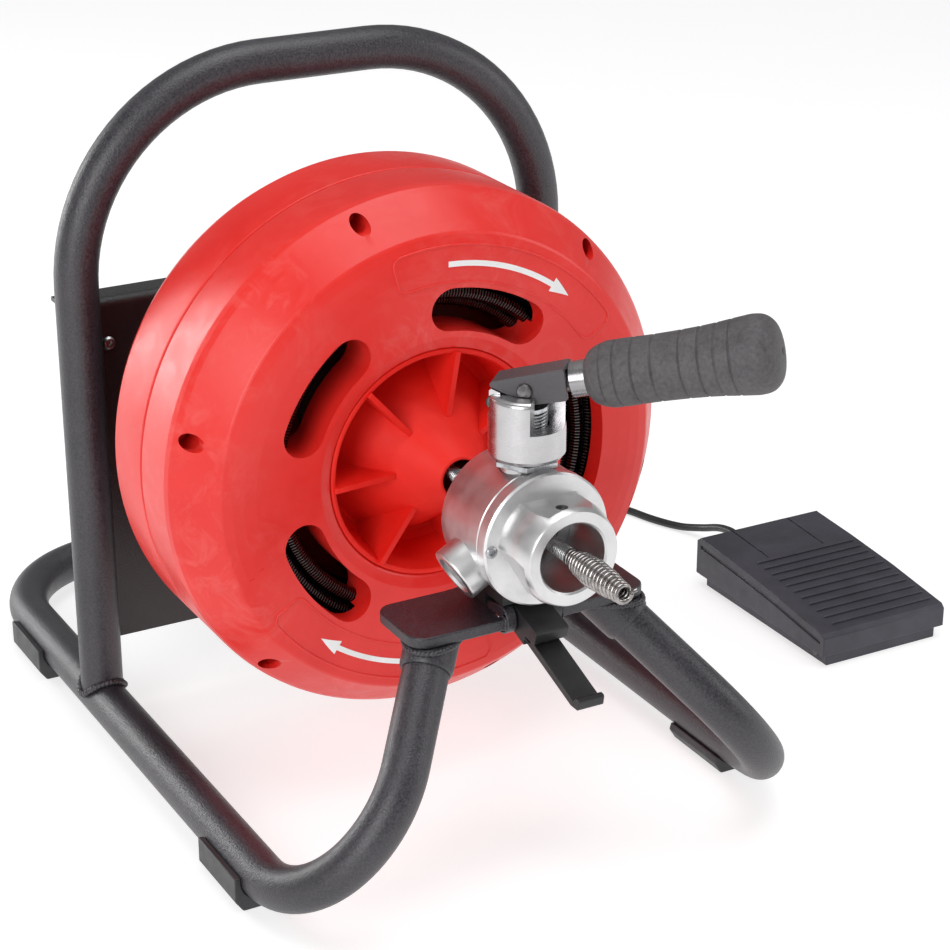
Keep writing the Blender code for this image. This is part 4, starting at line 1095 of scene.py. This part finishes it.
def make_snake():
    bm = bmesh.new()
    wire_coil(bm, 138, 0.92, lambda u: CABLE_R, -92.0, TIP_START_Y, 18, 8)
    core = [(0, -92.5), (3.4, -92.5), (3.4, -325), (0, -325)]
    lathe(bm, soften(core, 0.5, 3, closed=False), DRUM_CENTRE, BACK, 24)
    piece("cable_windings", bm, "snake", CABLE, ["snake_cable"])
    length = TIP_START_Y - TIP_END_Y
    profile = ((0.0, 5.6), (0.06, 6.0), (0.20, 7.6), (0.45, 8.7), (0.68, 8.0), (0.88, 6.5), (1.0, 6.1))
    bm = bmesh.new()
    path = wire_coil(bm, 17, 1.62, lambda u: keyed(profile, u), TIP_START_Y, TIP_END_Y + 1.7, 28, 14)
    tail = path[-1]
    bend = [tail, tail + Vector((1.2, -0.6, 1.0)), tail + Vector((3.2, -1.0, 1.8))]
    sweep(bm, smooth_route(bend, 0.5), 1.1, 10)
    core = [(0, TIP_START_Y - 1), (3.2, TIP_START_Y - 1), (3.6, TIP_START_Y - length * 0.3),
            (2.6, TIP_END_Y + 14), (0, TIP_END_Y + 13)]
    lathe(bm, soften(core, 0.8, 3, closed=False), DRUM_CENTRE, BACK, 24)
    piece("tip_windings", bm, "snake", WIRE, ["snake_tip"])


# ---------------------------------------------------------------- feed guide

def boss_shape(outline, angle, sides=64):
    """A shape turned about the axis of one of the guide's two side bosses."""
    return turned(outline, BOSS_CENTRE, radial(angle), sides)


def make_guide():
    seam = GUIDE_SEAM_Y
    body = made_object("guide_body_skin", drum_ring(
        [(BORE_R, seam + 0.2), (GUIDE_R - 1.0, seam + 0.2), (GUIDE_R, seam + 1.6),
         (GUIDE_R, GUIDE_REAR_Y - 2.6), (GUIDE_R - 2.6, GUIDE_REAR_Y), (BORE_R + 1.5, GUIDE_REAR_Y),
         (BORE_R, GUIDE_REAR_Y - 1.5)]))
    for angle in BOSS_ANGLES.values():
        boss = soften([(0, 26), (17, 26), (17, 51), (0, 51)], 1.6, 4, closed=False)
        carve(body, boss_shape(boss, angle), "UNION")
        carve(body, boss_shape([(0, 8), (11, 8), (11, 49.4), (12.9, 51.3), (12.9, 56), (0, 56)], angle))
    carve(body, bar(11, FEED_CENTRE + UP * 8, FEED_CENTRE + UP * 60))
    carve(body, bar(16.4, FEED_CENTRE + UP * 34, FEED_CENTRE + UP * 60, 64))
    dress(body, "root", GUIDE_METAL, ["guide_body"], sharp=30)

    nose = made_object("guide_nose_skin", drum_ring(
        [(BORE_R, seam - 0.2), (40, seam - 0.2), (41, seam - 1.2), (41, FLANGE_Y + 1.2), (39.8, FLANGE_Y),
         (34, FLANGE_Y), (32.4, FLANGE_Y - 0.5), (32, FLANGE_Y - 2.0), (32, -317), (31.7, -318.4),
         (29.3, NOSE_Y + 1.2), (28.4, NOSE_Y), (BORE_R + 1.2, NOSE_Y), (BORE_R, NOSE_Y + 1.2)]))
    carve(nose, bar(16.4, FEED_CENTRE + UP * 34, FEED_CENTRE + UP * 60, 64))
    for angle in (math.radians(90), *BOSS_ANGLES.values()):
        flat = block((-25, -325, 26.5), (25, FLANGE_Y - 0.3, 45), drum_turn(angle - math.pi / 2))
        carve(nose, flat)
    setscrew = DRUM_CENTRE + Vector((0, -315, 26.5))
    carve(nose, bar(3.6, setscrew - UP * 3.4, setscrew + UP * 4, 40))
    dress(nose, "root", GUIDE_METAL, ["guide_nose"], sharp=30)
    bm = bmesh.new()
    socket_screw(bm, setscrew - UP * 3.3, UP, 3.3, 1.9)
    piece("nose_set_screw", bm, "root", BLACK, sharp=40)
    places = [DRUM_CENTRE + radial(math.radians(a), 36.6) + BACK * FLANGE_Y for a in (180, 0)]
    screws("flange_screws", places, FORWARD, 3.7, 1.6)

    for label, angle in BOSS_ANGLES.items():
        out = radial(angle)
        plug = [(0, 38.3), (10.6, 38.3), (10.6, 44.4), (10.0, 45), (6.4, 45), (5.8, 44.4)]
        bm = boss_shape(plug, angle, 48)
        rim = circle(BOSS_CENTRE + out * 44.4, out, 5.8, 48)
        rings = [rim]
        for flat, along in ((4.9, 44.2), (4.8, 40.5)):
            middle = BOSS_CENTRE + out * along
            hexagon = []
            for k, spot in enumerate(circle(middle, out, flat, 48)):
                off_flat = math.tau * k / 48 % (math.pi / 3) - math.pi / 6
                hexagon.append(middle + (spot - middle) / math.cos(off_flat))
            rings.append(hexagon)
        loft(bm, rings, ends=False)
        bm.faces.new([bm.verts.new(spot) for spot in rings[-1]])
        piece("boss_plug_skin_" + label, bm, "root", BORE_METAL, ["boss_plug_" + label],
              sharp=30)

    foot = made_object("guide_foot_skin", block((-20, -283, SADDLE_TOP + 0.2), (20, -243, AXIS_Z - 24)))
    carve(foot, bar(GUIDE_R + 0.1, DRUM_CENTRE + BACK * -300, DRUM_CENTRE + BACK * -230, 128))
    carve(foot, block((-20.5, -300, SADDLE_TOP - 1), (20.5, -262, SADDLE_TOP + 8)))
    for angle in BOSS_ANGLES.values():
        out = radial(angle)
        carve(foot, bar(17.2, BOSS_CENTRE + out * 20, BOSS_CENTRE + out * 60, 64))
    dress(foot, "root", BLACK, ["guide_foot"], sharp=30)


def cross_bar(radius, out, up, half):
    """A round bar across the lever, for pins and the holes that they sit in."""
    return turned([(0, -half), (radius, -half), (radius, half), (0, half)],
                  LEVER_FRAME @ Vector((out, 0, up)), LEVER_AXIS, 48)


def lever_shape(outline, low, high):
    """An outline of the lever's side view, extruded across it."""
    return extruded(outline, "xz", low, high, LEVER_FRAME)


def spring_wire(node, foot, radius, wire, height, turns, per_turn, sides):
    """A compression spring's wire, standing up from the middle of its lowest turn."""
    path = []
    for k in range(turns * per_turn + 1):
        a = math.tau * k / per_turn
        rise = height * a / (math.tau * turns)
        path.append(foot + Vector((radius * math.cos(a), radius * math.sin(a), rise)))
    return piece(node + "_wire", swept(path, wire, sides), "root", SCREW_STEEL, [node])


def make_post():
    outline = [(11, 34.3), (16, 34.3), (16, 44), (18.6, 44), (21, 45.2), (POST_R, 47.5)]
    outline += arc((POST_R - 3.4, 79.9), 3.4, 0, 90, 8)
    outline += [(13, 83.3), (13, 58), (5.2, 58), (5.2, 50), (11, 50)]
    post = made_object("post_skin", turned(outline, FEED_CENTRE, UP, 128, looped=True))
    for low, high in (((-40, -10.2, 69), (40, 10.2, 95)), ((7, -40, 64), (40, 10.2, 95))):
        carve(post, block(low, high, LEVER_FRAME))
    ear = [(-19.9, 62), (-13.4, 62), (-13.4, 84.3), (-18.6, 86.3), (-19.9, 85.2)]
    carve(post, lever_shape(ear, -9.9, 9.9), "UNION")
    tongue = arc((PIVOT_OUT, PIVOT_UP), 3.9, -90, 105, 20) + [(-15, 88.8), (-15, 80)]
    carve(post, lever_shape(tongue, -5, 5), "UNION")
    carve(post, cross_bar(2.2, PIVOT_OUT, PIVOT_UP, 15))
    dress(post, "root", POST_METAL, ["feed_post"], bevel=0.45, sharp=30, segments=2)
    pin = soften([(0, 9.0), (4.4, 9.0), (4.4, 10.6), (3.7, 11.4), (0, 11.4)], 0.5, 3, closed=False)
    pin = turned(pin, LEVER_FRAME @ Vector((-17.2, 0, 78.4)), -LEVER_AXIS)
    piece("ear_pin", pin, "root", DARK_STEEL, sharp=40)

    corner_r = 17.6 / math.cos(math.pi / 6)
    corners = arc((0, FEED_Y), corner_r, 0, 300, 5)
    hexagon = extruded(soften(corners, 1.0, 3), "xy", AXIS_Z + 40.6, AXIS_Z + 43.9)
    nut = made_object("post_nut", hexagon)
    carve(nut, bar(15.9, FEED_CENTRE + UP * 38, FEED_CENTRE + UP * 50, 64))
    dress(nut, "root", SCREW_STEEL, bevel=0.4)

    spring = spring_wire("plunger_spring", FEED_CENTRE + UP * 59.4, 11.0, 1.05, 12.3, 6, 28, 12)
    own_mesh(spring)


def make_lever():
    (left, left_up), (right, right_up) = CHANNEL_TOP_LEFT, CHANNEL_TOP_RIGHT
    slope = (right_up - left_up) / (right - left)
    wall = 2.5
    outer = [CHANNEL_TOP_LEFT, (-19.9, 87.4), (4.3, 78.3), (25.8, 83.2), CHANNEL_TOP_RIGHT]
    channel = made_object("channel_skin", lever_shape(soften(outer, 2.0, 4), -CHANNEL_HALF, CHANNEL_HALF))
    ceiling = [(out, left_up + (out - left) * slope - CHANNEL_TOP_T) for out in (-30, 40)]
    inside = [ceiling[0], (-30, 60), (40, 60), ceiling[1]]
    carve(channel, lever_shape(inside, wall - CHANNEL_HALF, CHANNEL_HALF - wall))
    carve(channel, cross_bar(2.75, PIVOT_OUT + PUSH_ARM, PIVOT_UP, 12))
    dress(channel, "lever", CHANNEL_PAINT, ["lever_channel"], bevel=0.9)
    piece("pivot_pin_skin", cross_bar(2.0, PIVOT_OUT, PIVOT_UP, CHANNEL_HALF - 2.6), "root", SCREW_STEEL,
          ["pivot_pin"])
    end = CHANNEL_HALF + 0.1
    head = [(2.6, end), (4.6, end), (4.6, end + 1.0), (4.0, end + 1.8), (0, end + 2.1)]
    outline = [(radius, -along) for radius, along in reversed(head)] + head
    pin = turned(outline, LEVER_FRAME @ Vector((PIVOT_OUT + PUSH_ARM, 0, PIVOT_UP)), LEVER_AXIS)
    piece("push_pin_skin", pin, "lever", DARK_STEEL, ["push_pin"])

    start = LEVER_FRAME @ GRIP_START
    grip = [(11.5, 0), (15.5, 3.5), (18.6, 11), (19.2, 20), (19, 36), (19.3, 54), (20.2, 72), (22, 90),
            (22.5, 98), (21, 104.5), (16, 109.3), (8, 111.2), (0, 111.5)]
    grooves = (10.6, 18.6, 29.0, 40.5, 56.7, 67.6, 76.8, 85.5)
    grooved = []
    for radius, along, _ in smooth_route([Vector((r, y, 0)) for r, y in grip], 0.35):
        dip = sum(0.8 * math.exp(-((along - g) / 0.55) ** 2) for g in grooves)
        dimple = 1.6 * math.exp(-(radius / 1.7) ** 2) if along > 108 else 0.0
        grooved.append((max(radius - dip, 0.0), along - dimple))
    bore = [(6.3, 34), (6.3, 0.6), (7.0, 0)]
    piece("grip_skin", turned(bore + grooved, start, GRIP_WAY, 128), "lever", GRIP, ["lever_grip"],
          sharp=50)
    stem = [(0, -30), (5.6, -30), (6, -29.6), (6, -9.8), (9.8, -9.8), (10.5, -9.1), (10.5, -0.3),
            (6.2, -0.3), (6.2, 33.4), (0, 33.6)]
    piece("lever_rod_skin", turned(stem, start, GRIP_WAY, 64), "lever", ROD_METAL, ["lever_rod"],
          sharp=30)


# ---------------------------------------------------------------- foot pedal

PEDAL_TOP = ((PEDAL_FRONT_Y + 3, 26.0), (-110.0, 33.0), (-60.0, 37.0), (PEDAL_REAR_Y - 5, 39.5))


def pedal_z(y):
    """Height of the pedal's top between its front and rear edges."""
    for (y_one, z_one), (y_two, z_two) in zip(PEDAL_TOP, PEDAL_TOP[1:]):
        if y <= y_two:
            return z_one + (z_two - z_one) * (y - y_one) / (y_two - y_one)
    return PEDAL_TOP[-1][1]


def make_pedal():
    low_x, high_x = PEDAL_X - PEDAL_HALF, PEDAL_X + PEDAL_HALF
    wall, inset = 2.5, 5.5
    cover = [(PEDAL_FRONT_Y, 9), (PEDAL_FRONT_Y, 23), *PEDAL_TOP, (PEDAL_REAR_Y, 36), (PEDAL_REAR_Y, 9.5)]
    shell = made_object("treadle_skin", extruded(cover, "yz", low_x, high_x))
    inside = [(PEDAL_FRONT_Y + wall, 0), (PEDAL_FRONT_Y + wall, 22), (-110, 30), (-60, 34),
              (PEDAL_REAR_Y - 6, 36.5), (PEDAL_REAR_Y - wall, 35), (PEDAL_REAR_Y - wall, 0)]
    carve(shell, extruded(inside, "yz", low_x + wall, high_x - wall))
    carve(shell, block((PEDAL_X - 9, PEDAL_REAR_Y - 6, 0), (PEDAL_X + 9, PEDAL_REAR_Y + 6, 31)))
    groove = [(y, pedal_z(y) - 6.0) for y in (PEDAL_FRONT_Y + 5, -110, -60, PEDAL_REAR_Y - 5)]
    groove += [(y, z - 2.6) for y, z in reversed(groove)]
    slot = [(-63, pedal_z(-63) - 1.3), (-16.5, pedal_z(-16.5) - 1.3), (-16.5, 48), (-63, 48)]
    for side in (-1, 1):
        face, x = PEDAL_X + side * PEDAL_HALF, PEDAL_X + side * 25
        carve(shell, extruded(groove, "yz", face - 1.3, face + 1.3))
        carve(shell, extruded(slot, "yz", x - 0.6, x + 0.6))
    dress(shell, "treadle", PEDAL_PLASTIC, ["pedal_treadle"], bevel=1.6, segments=4)

    bm = bmesh.new()
    for k in range(11):
        y = -160 + 92 * k / 10
        path = [Vector((x, y, pedal_z(y) + lift))
                for x, lift in ((315, -0.9), (316.5, 0.1), (318, 0.3), (401, 0.3), (402.5, 0.1), (404, -0.9))]
        sweep(bm, path, [0.5, 1.0, 1.15, 1.15, 1.0, 0.5], 14)
    piece("treadle_ribs", bm, "treadle", PEDAL_PLASTIC)

    rear = -17.5
    low, high = (low_x + inset, PEDAL_FRONT_Y + 3, 0), (high_x - inset, rear, 12)
    base = made_object("pedal_base_skin", block(low, high))
    carve(base, block((low[0] + wall, low[1] + wall, 2.5), (high[0] - wall, rear - wall, 20)))
    carve(base, block((PEDAL_X - 8, -21, 6), (PEDAL_X + 8, rear, 28)), "UNION")
    dress(base, "root", PEDAL_PLASTIC, ["pedal_base"], bevel=0.7)

    relief = [(0, -17.2), (6.5, -17.2), (6.5, -13.5)]
    for k in range(6):
        start = -13.2 + 4.4 * k
        size = 5.6 - 0.28 * k
        relief += [(size, start), (size, start + 2.6), (size - 1.3, start + 2.9), (size - 1.3, start + 4.1)]
    relief += [(3.1, 14), (0, 14)]
    piece("pedal_relief_skin", turned(relief, Vector((PEDAL_X, 0, RELIEF_Z)), BACK), "root", BLACK,
          ["pedal_strain_relief"], sharp=40)

    spring = spring_wire("pedal_spring", Vector((PEDAL_X, -45, 3.6)), 5.6, 0.8, 29.4, 8, 24, 10)
    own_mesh(spring)


# ---------------------------------------------------------------- drive, at the back

def motor_bars(count, outline, half):
    """Flat bars set evenly round the motor's axis, each drawn at its right side."""
    bm = bmesh.new()
    for k in range(count):
        turn = Matrix.Translation(MOTOR_CENTRE) @ Matrix.Rotation(math.tau * k / count, 4, "Y")
        extrude(bm, outline, "xy", -half, half, turn)
    return bm


def make_motor():
    front = PLATE_Y + PLATE_T + 0.3
    base_r, wall_r = MOTOR_R - 3.0, MOTOR_R - 3.5
    outline = [(9, front), (MOTOR_R, front), (MOTOR_R, front + 5), (base_r, front + 7), (base_r, 111),
               (MOTOR_R, 113), (MOTOR_R, 118), (wall_r, 118), (wall_r, front + 5), (9, front + 5)]
    housing = made_object("motor_skin", drum_ring(soften(outline, 0.8, 3), 96, MOTOR_DROP))
    fin = [(base_r - 0.6, front + 6), (MOTOR_R - 0.2, front + 6), (MOTOR_R - 0.2, 112), (base_r - 0.6, 112)]
    piece("motor_fins", motor_bars(32, soften(fin, 1.4, 3), 0.9), "root", BLACK_PAINT,
          bevel=0.3)
    dress(housing, "root", BLACK_PAINT, ["motor_housing"], sharp=35)

    cap = [(0, 140), (30, 140), (MOTOR_R - 2, 134), (MOTOR_R, 128), (MOTOR_R, 118.3), (wall_r, 118.3),
           (wall_r, 127), (MOTOR_R - 6, 131), (28, 136), (0, 136)]
    cover = made_object("end_cap_skin", drum_ring(soften(cap, 1.6, 4, closed=False), 96, MOTOR_DROP))
    vent = soften([(12, 120), (28, 120), (28, 150), (12, 150)], 0.1, 1)
    carve(cover, motor_bars(14, vent, 1.5))
    dress(cover, "root", BLACK, ["motor_end_cap"], sharp=35)
    places = [MOTOR_CENTRE + radial(math.radians(a), 38.5) + BACK * 132.6 for a in (45, 135, 225, 315)]
    screws("end_cap_screws", places, BACK, 3.2, 2.2)


def make_gland(node, outline, place, way, nut_r):
    """A cord's gland: a turned sleeve in a six-sided nut."""
    bm = turned(outline, place, way)
    nut = ((0, 0.94), (0.6, 1.0), (4.6, 1.0), (5.4, 0.92))
    loft(bm, [circle(place + way * along, way, nut_r * grow, 6) for along, grow in nut])
    piece(node + "_skin", bm, "root", BLACK, [node], sharp=30)


def make_switch_box():
    low, high = (62, PLATE_Y + PLATE_T + 0.3, 120), (126, 62, 200)
    middle_x, middle_z = 94, 160
    outline = soften([(low[0], low[2]), (high[0], low[2]), (high[0], high[2]), (low[0], high[2])], 7.0, 6)
    box_skin = made_object("switch_box_skin", extruded(outline, "xz", low[1], high[1]))
    seam = bmesh.new()
    rings = []
    for grow, y in ((2.0, 50.0), (2.0, 51.0), (-0.9, 51.0), (-0.9, 50.0), (2.0, 50.0)):
        rings.append([Vector((x + (x > middle_x) * grow - (x < middle_x) * grow, y,
                              z + (z > middle_z) * grow - (z < middle_z) * grow)) for x, z in outline])
    loft(seam, rings, ends=False)
    bmesh.ops.remove_doubles(seam, verts=seam.verts[:], dist=0.001)
    carve(box_skin, seam)
    dress(box_skin, "root", BLACK, ["switch_box"], bevel=0.7)
    places = [Vector((x, high[1], z)) for x in (68.5, 119.5) for z in (126.5, 193.5)]
    screws("switch_box_screws", places, BACK, 2.9, 1.9)

    centre = Vector((middle_x, 0, 168))
    turn = Matrix.Translation(centre)
    knob = [(0, 62.4), (17, 62.4), (17, 66.4), (16.4, 68), (12.6, 69.4), (11.6, 70.4), (11, 79.2),
            (10.2, 80), (0, 80)]
    bm = turned(knob, centre, BACK, 64)
    grip = soften([(-4.4, -15.6), (4.4, -15.6), (4.4, 15.6), (-4.4, 15.6)], 3.4, 5)
    extrude(bm, grip, "xz", 66.0, 81.6, turn)
    extrude(bm, [(-0.8, 9), (0.8, 9), (0.8, 15), (-0.8, 15)], "xz", 81.0, 82.0, turn)
    piece("knob_skin", bm, "knob", BLACK, ["reversing_switch_knob"], bevel=0.5)
    bm = bmesh.new()
    for degrees in (45, 90, 135):
        way = radial(math.radians(degrees))
        start = centre + way * 20 + BACK * 62
        sweep(bm, [start, start + way * 5], 0.6, 10)
    piece("switch_ticks", bm, "root", WHITE)

    bell = [(0, 4), (4.2, 4), (4.2, 16), (5.5, 16), (6.5, 6), (9, 5), (0, 3)]
    make_gland("mains_inlet_gland", bell, Vector((76, 40, low[2] - 0.3)), Vector((0, 0, -1)), 9.0)
    sleeve = [(3.4 + 0.45 * (k // 2 % 2) + 0.11 * (12 - k), 26 - 1.5 * (k + 1)) for k in range(12)]
    make_gland("pedal_cord_gland", [(0, 26), *sleeve, (8, 7), (8, 5), (0, 5)],
               Vector((high[0] + 0.3, 40, 140)), RIGHT, 8.0)


KEPT = {
    "drum_hub": BORE_METAL, "drum_pulley": BORE_METAL, "drum_axle": STEEL, "front_bearing": STEEL,
    "rear_bearing": STEEL, "motor_rotor": STEEL, "motor_stator": COPPER, "cooling_fan": BLACK,
    "drive_belt": BELT, "roller_holder_left": STEEL, "roller_holder_right": STEEL, "feed_roller_top": STEEL,
    "feed_roller_left": STEEL, "feed_roller_right": STEEL, "plunger": SCREW_STEEL,
    "pedal_switch": BLACK, "pedal_hinge_pin": DARK_STEEL,
}


def finish_kept_nodes():
    for name, material in KEPT.items():
        for slot in NODES[name].material_slots:
            slot.material = material


make_stage()
CORD_LENGTH = make_cord()
make_frame()
make_feet()
make_plate()
make_saddle()
make_release_lever()
make_shells()
make_cone()
make_markings()
make_stored_cable()
make_snake()
make_guide()
make_post()
make_lever()
make_pedal()
make_motor()
make_switch_box()
finish_kept_nodes()

print("pedal cord length m", round(CORD_LENGTH, 4))
